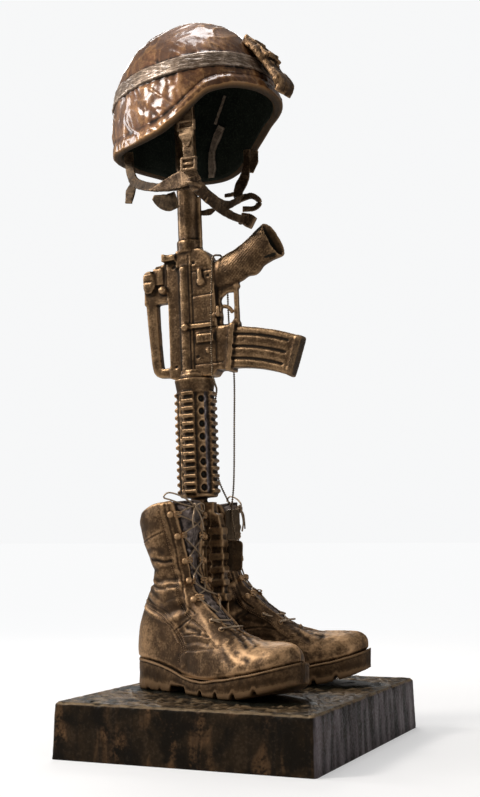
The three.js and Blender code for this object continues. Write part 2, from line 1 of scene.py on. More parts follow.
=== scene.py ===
# %% [markdown]
# # A cast soldier's memorial in bronze, step by step
# The real object is one bronze group: a pair of boots on a block of rough ground, a rifle
# standing muzzle down between them, a helmet over its end, and two tags on a bead chain.
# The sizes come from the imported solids, which stay as they are. The looks are made here.

# %% Load the fixed frame
import math

import bpy
import numpy as np
from mathutils import Matrix, Vector
from mathutils.geometry import tessellate_polygon


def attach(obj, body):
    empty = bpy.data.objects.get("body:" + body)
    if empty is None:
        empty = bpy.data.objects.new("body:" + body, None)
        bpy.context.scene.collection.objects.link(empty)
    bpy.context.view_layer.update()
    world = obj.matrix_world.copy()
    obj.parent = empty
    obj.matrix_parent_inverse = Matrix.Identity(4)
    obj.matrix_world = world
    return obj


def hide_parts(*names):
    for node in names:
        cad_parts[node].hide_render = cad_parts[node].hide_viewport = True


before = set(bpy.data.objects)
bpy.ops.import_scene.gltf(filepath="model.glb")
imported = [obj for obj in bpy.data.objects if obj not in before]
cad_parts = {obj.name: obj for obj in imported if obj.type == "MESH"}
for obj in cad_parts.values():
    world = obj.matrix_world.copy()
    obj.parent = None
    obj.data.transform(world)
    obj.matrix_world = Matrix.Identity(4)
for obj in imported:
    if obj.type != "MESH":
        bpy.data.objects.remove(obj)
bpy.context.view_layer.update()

print("solids:", ", ".join(sorted(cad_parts)))

# %% [markdown]
# ## Camera
# The photograph was taken from about two metres away, low down at the height of the boots'
# shafts, looking slightly up. The camera's heading, tilt and small roll were fitted to the
# corners of the block. A look-at constraint would lose the roll.

# %% Camera
MM = 0.001
camera = bpy.data.objects.new("camera", bpy.data.cameras.new("camera"))
camera.data.lens = 57.32
camera.data.sensor_width = 36
CAMERA_AT = Vector((763.6, -1807.8, 307.5))
HEADING, TILT, ROLL = 23.158, 6.243, -0.225
camera.matrix_world = Matrix.Translation(CAMERA_AT * MM)
for angle, axis in ((HEADING, "Z"), (90 + TILT, "X"), (ROLL, "Z")):
    camera.matrix_world = camera.matrix_world @ Matrix.Rotation(math.radians(angle), 4, axis)
bpy.context.collection.objects.link(camera)
bpy.context.scene.camera = camera
print("camera at", [round(v, 3) for v in camera.matrix_world.translation])

# %% [markdown]
# ## Floor and light
# Bronze shows its form by what it mirrors, so the light comes from a few large soft panels
# and a pale room. A small hard lamp would give pin-point glints and black gaps between them.

# %% Floor and light
def panel(name, at, aim, width, height, power, colour=(1, 1, 1)):
    light = bpy.data.lights.new(name, "AREA")
    light.shape = "RECTANGLE"
    light.size, light.size_y = width, height
    light.energy, light.color = power, colour
    lamp = bpy.data.objects.new(name, light)
    lamp.location = at
    lamp.rotation_euler = (Vector(aim) - Vector(at)).to_track_quat("-Z", "Y").to_euler()
    bpy.context.collection.objects.link(lamp)


panel("key", (-1.75, -1.65, 2.3), (-0.05, 0, 0.55), 0.65, 0.75, 60, (1.0, 0.97, 0.94))
panel("sky", (-0.4, 0.1, 2.9), (0, 0, 0.6), 1.1, 0.7, 30, (0.97, 0.98, 1.0))
panel("left", (-2.5, -0.3, 1.6), (-0.1, 0, 0.7), 0.5, 1.0, 22, (0.97, 0.98, 1.0))
panel("behind", (-1.2, 2.1, 2.2), (-0.1, 0, 0.9), 1.2, 0.9, 22)
panel("side", (2.4, -0.7, 1.1), (0, 0, 0.4), 0.8, 1.6, 9, (0.93, 0.95, 1.0))

world = bpy.data.worlds.new("room")
world.use_nodes = True
room = world.node_tree
seen = room.nodes.new("ShaderNodeLightPath").outputs["Is Camera Ray"]
backdrop = room.nodes.new("ShaderNodeBackground")
backdrop.inputs["Color"].default_value = (0.93, 0.935, 0.94, 1)
choice = room.nodes.new("ShaderNodeMixShader")
room.nodes["Background"].inputs["Color"].default_value = (0.93, 0.89, 0.85, 1)
room.nodes["Background"].inputs["Strength"].default_value = 0.26
room.links.new(seen, choice.inputs[0])
room.links.new(room.nodes["Background"].outputs[0], choice.inputs[1])
room.links.new(backdrop.outputs[0], choice.inputs[2])
room.links.new(choice.outputs[0], room.nodes["World Output"].inputs["Surface"])
bpy.context.scene.world = world
bpy.context.scene.view_settings.view_transform = "Standard"

# %% [markdown]
# ## Numbers along a line, and unevenness
# A casting has no straight table of sizes: its outlines flow, and its skin is never quite
# even. Two helpers give that: one reads a table with rounded corners, the other gives the
# same soft lumps each run. Blender's noise module would do, but it takes one point a call.

# %% Reading tables and making lumps
def ease(low, high, x):
    t = np.clip((np.asarray(x, float) - low) / (high - low), 0, 1)
    return t * t * (3 - 2 * t)


def flowing(rows, blur=0):
    rows = np.array(rows, float)
    if blur:
        s = np.r_[0, np.cumsum(np.hypot(*np.diff(rows, axis=0).T))]
        fine = np.arange(0, s[-1], 1.0)
        line = np.stack([np.interp(fine, s, rows[:, i]) for i in (0, 1)], 1)
        n = int(3 * blur)
        weight = np.exp(-0.5 * (np.arange(-n, n + 1) / blur) ** 2)
        ends = [2 * line[0] - line[n:0:-1], line, 2 * line[-1] - line[-2:-n - 2:-1]]
        rows = np.stack([np.convolve(np.vstack(ends)[:, i], weight / weight.sum(), "valid")
                         for i in (0, 1)], 1)
    return lambda x: np.interp(x, rows[:, 0], rows[:, 1])


def lumps(points, size, seed=1):
    q = np.asarray(points, float) / size + 31.7 * seed
    cell = np.floor(q).astype(np.int64)
    f = q - cell
    f = f * f * f * (f * (f * 6 - 15) + 10)
    total = np.zeros(q.shape[:-1])
    for corner in range(8):
        d = np.array([corner & 1, corner >> 1 & 1, corner >> 2])
        n = ((cell + d) * np.array([73856093, 19349663, 83492791])).sum(-1) + seed * 12345
        n = ((n ^ (n >> 15)) * 2246822519) & 0xFFFFFFFF
        n = ((n ^ (n >> 13)) * 3266489917) & 0xFFFFFFFF
        total += ((n ^ (n >> 16)) / 2147483648.0 - 1) * np.prod(np.where(d, f, 1 - f), -1)
    return total


def rough(points, size, seed=1, layers=3):
    return sum(lumps(points, size / 2 ** k, seed + k) / 2 ** k for k in range(layers))


def creased(points, size, seed=1):
    return 1 - 2 * np.abs(lumps(points, size, seed)) ** 0.7


sample = lumps(np.random.default_rng(2).random((900, 3)) * 90, 9)
print("lumps run from", round(sample.min(), 2), "to", round(sample.max(), 2))

# %% [markdown]
# ## Skins
# Every surface is built as rings of points joined into a skin: a ring swept along a line
# makes a strap, a lace or a barrel, and rings of changing shape make a boot or a shell.
# Working on arrays of points keeps fine relief quick, where edit-mode tools would be slow.

# %% Skins from rings
def skin(rings, closed=(True, True)):
    rings = np.asarray(rings, float)
    n, m = rings.shape[:2]
    r, c = np.meshgrid(np.arange(n - 1), np.arange(m), indexing="ij")
    a, b = r * m + c, r * m + (c + 1) % m
    d, e = a + m, b + m
    tris = [np.stack([a, b, e], -1).reshape(-1, 3), np.stack([a, e, d], -1).reshape(-1, 3)]
    points = [rings.reshape(-1, 3)]
    i = np.arange(m)
    for k, wanted in ((0, closed[0]), (n - 1, closed[1])):
        if wanted:
            middle = np.full(m, n * m + len(points) - 1)
            edge = [k * m + (i + 1) % m, k * m + i]
            tris.append(np.stack([middle, *(edge if k == 0 else edge[::-1])], -1))
            points.append(rings[k].mean(0)[None])
    return outward(np.vstack(points), np.vstack(tris))


def outward(points, tris):
    a, b, c = (points - points.mean(0))[tris].transpose(1, 0, 2)
    return points, tris if (a * np.cross(b, c)).sum() > 0 else tris[:, ::-1]


def unit(v):
    return v / np.maximum(np.linalg.norm(v, axis=-1, keepdims=True), 1e-9)


def curve(points, step=3.0):
    p = np.array(points, float)
    q = np.vstack([2 * p[0] - p[1], p, 2 * p[-1] - p[-2]])
    t = np.linspace(0, 1, 24, endpoint=False)[:, None]
    parts = [0.5 * (2 * b + (c - a) * t + (2 * a - 5 * b + 4 * c - d) * t ** 2
                    + (3 * b - a - 3 * c + d) * t ** 3) for a, b, c, d in zip(q, q[1:], q[2:], q[3:])]
    fine = np.vstack(parts + [p[-1:]])
    s = np.r_[0, np.cumsum(np.linalg.norm(np.diff(fine, axis=0), axis=1))]
    at = np.linspace(0, s[-1], max(int(round(s[-1] / step)), 1) + 1)
    return np.stack([np.interp(at, s, fine[:, i]) for i in range(3)], 1)


def sweep(line, section, across=None, grow=None):
    line, section = np.asarray(line, float), np.asarray(section, float)
    along = unit(np.gradient(line, axis=0))
    if across is None:
        side = np.zeros_like(line)
        side[0] = unit(np.cross(along[0], [0.3, 0.2, 0.93]))
        for k in range(1, len(line)):
            side[k] = unit(side[k - 1] - along[k] * (side[k - 1] @ along[k]))
    else:
        side = np.broadcast_to(np.asarray(across, float), line.shape)
        side = unit(side - along * (side * along).sum(1)[:, None])
    out = np.cross(along, side)
    grow = np.ones((len(line), 2)) if grow is None else np.broadcast_to(
        np.asarray(grow, float).reshape(len(line), -1), (len(line), 2))
    return skin(line[:, None] + side[:, None] * section[None, :, :1] * grow[:, None, :1]
                + out[:, None] * section[None, :, 1:] * grow[:, None, 1:])


def oval(wide, high, count=10, power=2.0):
    t = np.arange(count) * 2 * np.pi / count
    c, s = np.cos(t), np.sin(t)
    return np.stack([np.sign(c) * np.abs(c) ** (2 / power) * wide / 2,
                     np.sign(s) * np.abs(s) ** (2 / power) * high / 2], 1)


print("a lace section has", len(oval(3, 3)), "sides")

# %% [markdown]
# ## Solid blocks, plates and rods
# The rifle's hard parts are simple solids that overlap, as a wax model is built up before
# it is cast. They are drawn in millimetres with x to the magazine and z up the barrel.

# %% Blocks, plates and rods
def plate(outline, thick, y=0.0):
    flat = np.array([(x, z) for x, z in outline], float)
    n = len(flat)
    ends = [np.stack([flat[:, 0], np.full(n, y + s * thick / 2), flat[:, 1]], 1) for s in (-1, 1)]
    lid = np.array(tessellate_polygon([[Vector((x, z, 0)) for x, z in flat]]))
    i = np.arange(n)
    j = (i + 1) % n
    walls = np.vstack([np.stack([i, j, j + n], 1), np.stack([i, j + n, i + n], 1)])
    area = np.sum(flat[i, 0] * flat[j, 1] - flat[j, 0] * flat[i, 1])
    walls = walls if area < 0 else walls[:, ::-1]
    a, b, c = flat[lid].transpose(1, 0, 2)
    turned = (b - a)[:, 0] * (c - a)[:, 1] - (b - a)[:, 1] * (c - a)[:, 0]
    lid = np.where((turned > 0)[:, None], lid, lid[:, ::-1])
    return np.vstack(ends), np.vstack([lid, lid[:, ::-1] + n, walls[:, ::-1]])


def box(x0, x1, y0, y1, z0, z1):
    return plate([(x0, z0), (x1, z0), (x1, z1), (x0, z1)], y1 - y0, (y0 + y1) / 2)


def rod(a, b, radius, end_radius=None, sides=24):
    grow = np.array([radius, radius if end_radius is None else end_radius])[:, None]
    return sweep(np.array([a, b], float), oval(2, 2, sides), grow=grow)


def turned(shell, place):
    points, tris = shell
    return points @ np.array(place)[:3, :3].T + np.array(place)[:3, 3], tris


print("a plate has", len(plate([(0, 0), (9, 0), (9, 9), (4, 12)], 3)[1]), "triangles")

# %% [markdown]
# ## Measuring and moving a skin
# Fine relief is pressed into a finished skin by moving its points along their normals. The
# same neighbours also tell how far a point stands out of its surroundings, which later
# brightens rubbed edges and darkens hollows, as hands and weather do on a real bronze.

# %% Neighbours, normals and relief
def together(shells):
    points, tris, base = [], [], 0
    for p, t in shells:
        points.append(p)
        tris.append(t + base)
        base += len(p)
    return np.vstack(points), np.vstack(tris)


def edges_of(tris, count):
    pairs = np.sort(np.vstack([tris[:, :2], tris[:, 1:], tris[:, ::2]]), 1).astype(np.int64)
    key = np.unique(pairs[:, 0] * count + pairs[:, 1])
    return key // count, key % count


def averaged(values, edges):
    a, b = edges
    ends = np.r_[a, b]
    n = np.maximum(np.bincount(ends, minlength=len(values)), 1)
    return np.stack([np.bincount(ends, np.r_[values[b, i], values[a, i]], len(values)) / n
                     for i in range(values.shape[1])], 1)


def normals(points, tris):
    a, b, c = points[tris].transpose(1, 0, 2)
    face = np.cross(b - a, c - a)
    return unit(np.stack([np.bincount(tris.ravel(), np.repeat(face[:, i], 3), len(points))
                          for i in range(3)], 1))


def relaxed(points, tris, passes, share=0.6):
    edges = edges_of(tris, len(points))
    for _ in range(passes):
        points = points + share * (averaged(points, edges) - points)
    return points


def standing_out(points, tris, passes=10):
    return ((points - relaxed(points, tris, passes)) * normals(points, tris)).sum(1)


def gap_to(points, line, limit=15.0):
    line = np.asarray(line, float)
    out = np.full(len(points), float(limit))
    close = np.all((points > line.min(0) - limit) & (points < line.max(0) + limit), axis=1)
    where = np.flatnonzero(close)
    best = np.full(len(where), float(limit) ** 2)
    for q in line:
        np.minimum(best, ((points[where] - q) ** 2).sum(1), out=best)
    out[where] = np.sqrt(best)
    return out


def fused(shells, voxel, passes=2):
    points, tris = together(shells)
    mesh = bpy.data.meshes.new("fusing")
    mesh.from_pydata(points.tolist(), [], tris.tolist())
    lump = bpy.data.objects.new("fusing", mesh)
    bpy.context.collection.objects.link(lump)
    remesh = lump.modifiers.new("skin", "REMESH")
    remesh.mode, remesh.voxel_size = "VOXEL", voxel
    made = lump.evaluated_get(bpy.context.evaluated_depsgraph_get()).to_mesh()
    made.calc_loop_triangles()
    points = np.empty(len(made.vertices) * 3, np.float32)
    made.vertices.foreach_get("co", points)
    tris = np.empty(len(made.loop_triangles) * 3, np.int32)
    made.loop_triangles.foreach_get("vertices", tris)
    bpy.data.objects.remove(lump)
    bpy.data.meshes.remove(mesh)
    points, tris = points.reshape(-1, 3).astype(float), tris.reshape(-1, 3)
    return relaxed(points, tris, passes), tris


two_boxes = fused([box(0, 9, 0, 9, 0, 9), box(5, 15, 2, 7, 2, 7)], 1.0)
print("two boxes fuse into", len(two_boxes[1]), "triangles")

# %% [markdown]
# ## Casting a piece
# One call turns the skins of a piece into a Blender object in metres, in its place on the
# solid that it stands for. It keeps three measures on each point: how far it stands out,
# how dark it is (mostly painted shade inside, under or round a thing), and how much it is
# brightened: polished to gold by touch in places, and elsewhere a painted highlight and painted light.
# A piece with several finishes says for each point which one it has; a face takes the lowest.

# %% Turning skins into a piece
PIECES = []


def stand(at, turn_z=0, turn_y=0, turn_x=0):
    turns = ((turn_z, "Z"), (turn_y, "Y"), (turn_x, "X"))
    place = Matrix.Translation(at)
    for angle, axis in turns:
        place = place @ Matrix.Rotation(math.radians(angle), 4, axis)
    return place


def cast(name, node, material, shells, place=None, dark=0.0, polish_and_painted_light=0.0, sharp=None,
         mirror=False, finish=None, contrast=1.0):
    points, tris = together(shells)
    relief = standing_out(points, tris) * contrast
    if mirror:
        points, tris = points * (1, -1, 1), tris[:, ::-1]
    if place is not None:
        points = turned((points, tris), place)[0]
    mesh = bpy.data.meshes.new(name)
    mesh.from_pydata((points * MM).tolist(), [], tris.tolist())
    mesh.shade_smooth()
    if sharp:
        mesh.set_sharp_from_angle(angle=math.radians(sharp))
    for title, values in (("relief", relief), ("dark", dark), ("polish_and_painted_light", polish_and_painted_light)):
        data = np.broadcast_to(np.asarray(values, np.float32), len(points))
        mesh.attributes.new(title, "FLOAT", "POINT").data.foreach_set("value", data)
    for one in material if isinstance(material, list) else [material]:
        mesh.materials.append(one)
    if finish is not None:
        mesh.polygons.foreach_set("material_index", np.asarray(finish, np.int32)[tris].min(1))
    piece = bpy.data.objects.new(name, mesh)
    bpy.context.collection.objects.link(piece)
    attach(piece, "root")
    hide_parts(node)
    PIECES.append((name, len(tris)))
    print(f"{name}: {len(tris)} triangles")
    return piece


# %% [markdown]
# ## Bronze
# The bronze is brown under a waxed patina: nearly black in the hollows and gold where it
# is rubbed. Patina is laid on with a torch and then rubbed back, so it follows the relief.
# A picture of bronze would show the same stains twice and would blur close up, so the
# colours are mixed by nodes. These few helpers keep that readable.

# %% Node helpers
def link(tree, value, socket):
    if isinstance(value, bpy.types.NodeSocket):
        tree.links.new(value, socket)
    else:
        socket.default_value = value


def maths(tree, kind, a, b=0.0, clamp=False):
    node = tree.nodes.new("ShaderNodeMath")
    node.operation, node.use_clamp = kind, clamp
    link(tree, a, node.inputs[0])
    link(tree, b, node.inputs[1])
    return node.outputs[0]


def plus(tree, a, b, clamp=False):
    return maths(tree, "ADD", a, b, clamp)


def less(tree, a, b):
    return maths(tree, "SUBTRACT", a, b)


def times(tree, a, b, clamp=False):
    return maths(tree, "MULTIPLY", a, b, clamp)


def mixed(tree, share, a, b):
    node = tree.nodes.new("ShaderNodeMix")
    node.data_type = "RGBA"
    for value, index in ((share, 0), (a, 6), (b, 7)):
        link(tree, value, node.inputs[index])
    return node.outputs[2]


def between(tree, value, low, high, to_low=0.0, to_high=1.0):
    node = tree.nodes.new("ShaderNodeMapRange")
    node.interpolation_type = "SMOOTHSTEP"
    for v, index in ((value, 0), (low, 1), (high, 2), (to_low, 3), (to_high, 4)):
        link(tree, v, node.inputs[index])
    return node.outputs[0]


def noise(tree, where, scale, detail=4.0, stretch=None, distortion=0.0):
    if stretch is not None:
        bend = tree.nodes.new("ShaderNodeMapping")
        bend.inputs["Scale"].default_value = stretch
        tree.links.new(where, bend.inputs["Vector"])
        where = bend.outputs[0]
    node = tree.nodes.new("ShaderNodeTexNoise")
    tree.links.new(where, node.inputs["Vector"])
    link(tree, scale, node.inputs["Scale"])
    node.inputs["Detail"].default_value = detail
    node.inputs["Distortion"].default_value = distortion
    return node.outputs["Fac"]


def stored(tree, title):
    node = tree.nodes.new("ShaderNodeAttribute")
    node.attribute_name = title
    return node.outputs["Fac"]


def group(title, inputs, outputs):
    tree = bpy.data.node_groups.new(title, "ShaderNodeTree")
    for label, kind, value in inputs:
        socket = tree.interface.new_socket(label, in_out="INPUT", socket_type=kind)
        socket.default_value = value
    for label, kind in outputs:
        tree.interface.new_socket(label, in_out="OUTPUT", socket_type=kind)
    return tree, tree.nodes.new("NodeGroupInput").outputs, tree.nodes.new("NodeGroupOutput").inputs


print("node helpers ready")

# %% [markdown]
# ## The shared bronze group
# Every bronze is the same mixture of four colours: the body, the rubbed metal on what stands
# out, the black of the hollows, and a painted shade colour for insides and undersides. One
# group does the mixing from the stored relief and from noise, so that all pieces weather
# alike, and each finish gives it its own colours. Separate node trees would drift apart
# when one of them is changed.

# %% The shared bronze group
COLOUR, NUMBER = "NodeSocketColor", "NodeSocketFloat"
worn, given, out = group("worn_bronze", [
    ("Body", COLOUR, (0.2, 0.1, 0.04, 1)), ("Rubbed", COLOUR, (0.5, 0.3, 0.13, 1)),
    ("Hollow", COLOUR, (0.02, 0.014, 0.008, 1)), ("Inside", COLOUR, (0.01, 0.014, 0.012, 1)),
    ("Patches", NUMBER, 30.0), ("Wear", NUMBER, 1.0), ("Stain", NUMBER, 0.5), ("Gloss", NUMBER, 0.35),
], [("Color", COLOUR), ("Roughness", NUMBER), ("Height", NUMBER), ("Waxed", NUMBER)])
place = worn.nodes.new("ShaderNodeTexCoord").outputs["Object"]
relief, dark, polish_and_painted_light = (stored(worn, title) for title in ("relief", "dark", "polish_and_painted_light"))
patches = noise(worn, place, given["Patches"], 5.0, distortion=0.4)
specks = noise(worn, place, 330.0, 4.0)
grain = noise(worn, place, 1400.0, 2.0)
runs = noise(worn, place, 75.0, 3.0, stretch=(1, 1, 0.22))
shade = times(worn, between(worn, runs, 0.62, 0.36), given["Stain"])
shade = maths(worn, "MAXIMUM", shade, times(worn, between(worn, patches, 0.56, 0.34), given["Stain"]))
colour = mixed(worn, times(worn, shade, 0.75), given["Body"], given["Hollow"])
uneven = plus(worn, times(worn, less(worn, patches, 0.5), 1.7),
               times(worn, less(worn, specks, 0.5), 1.3))
proud = plus(worn, plus(worn, times(worn, relief, 0.85), uneven), polish_and_painted_light)
rub = times(worn, between(worn, proud, -0.15, 1.15), given["Wear"], clamp=True)
colour = mixed(worn, rub, colour, given["Rubbed"])
sunk = less(worn, times(worn, relief, -1.25), times(worn, uneven, 0.4))
sunk = between(worn, sunk, 0.04, 1.15)
colour = mixed(worn, sunk, colour, given["Hollow"])
# Painted shade: where the stored dark measure is set, inside and under things, the colour goes to the near-black shade
# colour.
inside = plus(worn, dark, times(worn, uneven, 0.12), clamp=True)
inside = times(worn, inside, between(worn, dark, 0.0, 0.2))
lining = mixed(worn, between(worn, specks, 0.48, 0.7, 0.0, 0.35), given["Inside"], given["Body"])
link(worn, mixed(worn, inside, colour, lining), out["Color"])
dull = maths(worn, "MAXIMUM", sunk, inside)
base = plus(worn, given["Gloss"], times(worn, less(worn, specks, 0.5), 0.35))
link(worn, plus(worn, base, times(worn, dull, 0.35), clamp=True), out["Roughness"])
link(worn, less(worn, 1.0, dull), out["Waxed"])
height = plus(worn, times(worn, specks, 0.6), times(worn, grain, 0.3))
link(worn, plus(worn, height, times(worn, patches, 0.5)), out["Height"])


# inside is the colour of the painted shade inside and under things.
def bronze(title, body, rubbed, hollow=(0.018, 0.012, 0.007), inside=(0.010, 0.013, 0.011), patches=30.0,
           wear=0.9, stain=0.5, gloss=0.35, metal=0.7, coat=0.0, shine=0.35, depth=0.9, bump=0.35):
    material = bpy.data.materials.new(title)
    material.use_nodes = True
    tree = material.node_tree
    shader = tree.nodes["Principled BSDF"]
    made = tree.nodes.new("ShaderNodeGroup")
    made.node_tree = worn
    for label, value in (("Body", body), ("Rubbed", rubbed), ("Hollow", hollow), ("Inside", inside)):
        made.inputs[label].default_value = (*value, 1)
    for label, value in (("Patches", patches), ("Wear", wear), ("Stain", stain), ("Gloss", gloss)):
        made.inputs[label].default_value = value
    tree.links.new(made.outputs["Color"], shader.inputs["Base Color"])
    tree.links.new(made.outputs["Roughness"], shader.inputs["Roughness"])
    shader.inputs["Metallic"].default_value = metal
    if coat:
        link(tree, times(tree, made.outputs["Waxed"], coat), shader.inputs["Coat Weight"])
    shader.inputs["Coat Roughness"].default_value = 0.13
    shader.inputs["Specular IOR Level"].default_value = shine
    pressed = tree.nodes.new("ShaderNodeBump")
    pressed.inputs["Strength"].default_value = bump
    pressed.inputs["Distance"].default_value = depth * MM
    tree.links.new(made.outputs["Height"], pressed.inputs["Height"])
    tree.links.new(pressed.outputs["Normal"], shader.inputs["Normal"])
    material.diffuse_color = (*body, 1)
    return material


BOOT = bronze("boot_bronze", (0.088, 0.048, 0.022), (0.50, 0.305, 0.155),
              patches=42, wear=0.9, gloss=0.46, metal=0.6, shine=0.25)
TONGUE = bronze("tongue_bronze", (0.060, 0.046, 0.040), (0.26, 0.205, 0.180), (0.016, 0.012, 0.010),
                patches=60, wear=0.9, gloss=0.36, metal=0.6)
SOLE = bronze("sole_bronze", (0.070, 0.039, 0.018), (0.32, 0.195, 0.100),
              patches=50, wear=0.55, gloss=0.55, metal=0.5, shine=0.15)
LACE = bronze("lace_bronze", (0.120, 0.082, 0.050), (0.46, 0.335, 0.220),
              patches=60, wear=0.8, gloss=0.4, metal=0.6)
RIFLE = bronze("rifle_bronze", (0.100, 0.056, 0.026), (0.42, 0.262, 0.135),
               patches=38, wear=0.95, gloss=0.36, metal=0.75)
VIOLET = bronze("violet_bronze", (0.085, 0.066, 0.062), (0.28, 0.235, 0.225),
                patches=50, wear=0.8, gloss=0.34, metal=0.7)
HELMET = bronze("helmet_bronze", (0.115, 0.042, 0.012), (0.43, 0.225, 0.085),
                patches=34, wear=0.85, gloss=0.5, metal=0.45, coat=0.55, shine=0.25)
BAND = bronze("band_bronze", (0.150, 0.098, 0.062), (0.50, 0.385, 0.290),
              patches=60, wear=0.95, gloss=0.42, metal=0.5, coat=0.3)
LINING = bronze("lining_bronze", (0.062, 0.072, 0.050), (0.17, 0.185, 0.145), (0.012, 0.014, 0.010),
                patches=110, wear=0.5, gloss=0.85, metal=0.1, shine=0.02)
PADDING = bronze("padding_bronze", (0.15, 0.112, 0.080), (0.40, 0.310, 0.230),
                 patches=70, wear=0.8, gloss=0.6, metal=0.3, shine=0.1)
STRAP = bronze("strap_bronze", (0.066, 0.038, 0.020), (0.34, 0.220, 0.122),
               patches=44, wear=0.95, gloss=0.42)
CHAIN = bronze("chain_bronze", (0.040, 0.027, 0.016), (0.34, 0.240, 0.150),
               patches=90, wear=0.6, gloss=0.24, metal=0.85)
TAG = bronze("tag_bronze", (0.105, 0.072, 0.042), (0.32, 0.215, 0.125),
             patches=60, wear=0.85, gloss=0.36)
print("bronzes:", ", ".join(m.name for m in bpy.data.materials if m.name.endswith("bronze")))

# %% [markdown]
# ## Plinth metal
# The block has three finishes. Its top is rough ground, olive and tan, black and a little
# glossier round the boots, where the black is painted shade, and dark in patches near its edge.
# Its long sides are dark with tan runs where rain has come over the edge, and the
# face below the toes is violet-grey with fine streaks. One material tells them apart by
# which way the surface faces, so the change follows the edge, as three materials could not.

# %% Plinth metal
def plinth_metal():
    material = bpy.data.materials.new("plinth_bronze")
    material.use_nodes = True
    tree = material.node_tree
    shader = tree.nodes["Principled BSDF"]
    where = tree.nodes.new("ShaderNodeTexCoord").outputs["Object"]
    face = tree.nodes.new("ShaderNodeSeparateXYZ")
    tree.links.new(tree.nodes.new("ShaderNodeNewGeometry").outputs["Normal"], face.inputs[0])
    level = between(tree, face.outputs["Z"], 0.35, 0.75)
    front = between(tree, face.outputs["X"], 0.4, 0.8)
    relief, shade_and_dark_patches = stored(tree, "relief"), stored(tree, "dark")
    patches = noise(tree, where, 22.0, 6.0, distortion=0.6)
    specks = noise(tree, where, 260.0, 5.0)
    runs = noise(tree, where, 30.0, 5.0, stretch=(1, 1, 0.42), distortion=0.5)
    height = tree.nodes.new("ShaderNodeSeparateXYZ")
    tree.links.new(where, height.inputs[0])
    fine = noise(tree, where, 55.0, 4.0, stretch=(1, 1, 0.1))
    ground = mixed(tree, between(tree, patches, 0.38, 0.66), (0.018, 0.013, 0.007, 1), (0.105, 0.066, 0.032, 1))
    stone = plus(tree, times(tree, relief, 1.0), less(tree, specks, 0.5))
    ground = mixed(tree, between(tree, stone, 0.1, 1.0, 0.0, 0.8), ground, (0.20, 0.138, 0.076, 1))
    ground = mixed(tree, between(tree, stone, -0.05, -0.9), ground, (0.008, 0.006, 0.003, 1))
    # Painted shade: the stored dark measure blackens the ground round the boots, and in patches near the edge.
    ground = mixed(tree, between(tree, plus(tree, shade_and_dark_patches, times(tree, patches, 0.5)), 0.45, 0.85),
                   ground, (0.008, 0.008, 0.005, 1))
    brown = mixed(tree, between(tree, patches, 0.40, 0.62), (0.009, 0.006, 0.003, 1), (0.028, 0.017, 0.008, 1))
    blotch = times(tree, between(tree, runs, 0.46, 0.70), between(tree, plus(tree, patches, maths(
        tree, "MULTIPLY", specks, 0.5)), 0.62, 0.86))
    brown = mixed(tree, times(tree, blotch, 0.9), brown, (0.185, 0.098, 0.045, 1))
    violet = mixed(tree, between(tree, runs, 0.42, 0.60), (0.014, 0.011, 0.011, 1), (0.085, 0.068, 0.072, 1))
    violet = mixed(tree, between(tree, fine, 0.44, 0.70, 0.0, 0.75), violet, (0.235, 0.205, 0.215, 1))
    side = mixed(tree, front, brown, violet)
    side = mixed(tree, between(tree, fine, 0.36, 0.5, 0.7, 0.0), side, (0.008, 0.006, 0.004, 1))
    speckled = plus(tree, specks, times(tree, patches, 0.6))
    side = mixed(tree, between(tree, speckled, 0.8, 1.05, 0.0, 0.3), side, (0.085, 0.056, 0.034, 1))
    edge = times(tree, between(tree, height.outputs["Z"], 0.0762, 0.0788), between(tree, patches, 0.46, 0.6))
    side = mixed(tree, times(tree, edge, 0.75), side, (0.27, 0.215, 0.17, 1))
    link(tree, mixed(tree, level, side, ground), shader.inputs["Base Color"])
    link(tree, between(tree, plus(tree, specks, times(tree, shade_and_dark_patches, -0.25)), 0.25, 0.75, 0.32, 0.62),
         shader.inputs["Roughness"])
    shader.inputs["Metallic"].default_value = 0.28
    shader.inputs["Specular IOR Level"].default_value = 0.14
    pressed = tree.nodes.new("ShaderNodeBump")
    pressed.inputs["Strength"].default_value = 0.6
    pressed.inputs["Distance"].default_value = 1.6 * MM
    link(tree, plus(tree, specks, times(tree, patches, 1.4)), pressed.inputs["Height"])
    tree.links.new(pressed.outputs["Normal"], shader.inputs["Normal"])
    return material


PLINTH = plinth_metal()
print("plinth metal has", len(PLINTH.node_tree.nodes), "nodes")

# %% [markdown]
# ## The floor
# A plain pale floor takes the shadow and throws a little light under the block. Far off it
# glows like the room, for the camera only, so no dark horizon cuts behind the boots; a
# bigger lamp would light the metal too.

# %% The floor
floor_mesh = bpy.data.meshes.new("floor")
floor_mesh.from_pydata([(-60, -60, 0), (60, -60, 0), (60, 60, 0), (-60, 60, 0)], [], [(0, 1, 2, 3)])
floor = bpy.data.objects.new("floor", floor_mesh)
bpy.context.collection.objects.link(floor)
pale = bpy.data.materials.new("pale_floor")
pale.use_nodes = True
ground = pale.node_tree
shader = ground.nodes["Principled BSDF"]
shader.inputs["Roughness"].default_value = 0.9
length = ground.nodes.new("ShaderNodeVectorMath")
length.operation = "LENGTH"
ground.links.new(ground.nodes.new("ShaderNodeTexCoord").outputs["Object"], length.inputs[0])
seen = ground.nodes.new("ShaderNodeLightPath").outputs["Is Camera Ray"]
shader.inputs["Emission Color"].default_value = (0.93, 0.935, 0.94, 1)
link(ground, times(ground, between(ground, length.outputs["Value"], 0.3, 2.6, 0.42, 1.0), seen),
     shader.inputs["Emission Strength"])
link(ground, mixed(ground, between(ground, length.outputs["Value"], 0.8, 2.6), (0.5, 0.49, 0.48, 1),
                   mixed(ground, seen, (0.5, 0.49, 0.48, 1), (0, 0, 0, 1))), shader.inputs["Base Color"])
floor_mesh.materials.append(pale)
print("floor at z = 0")

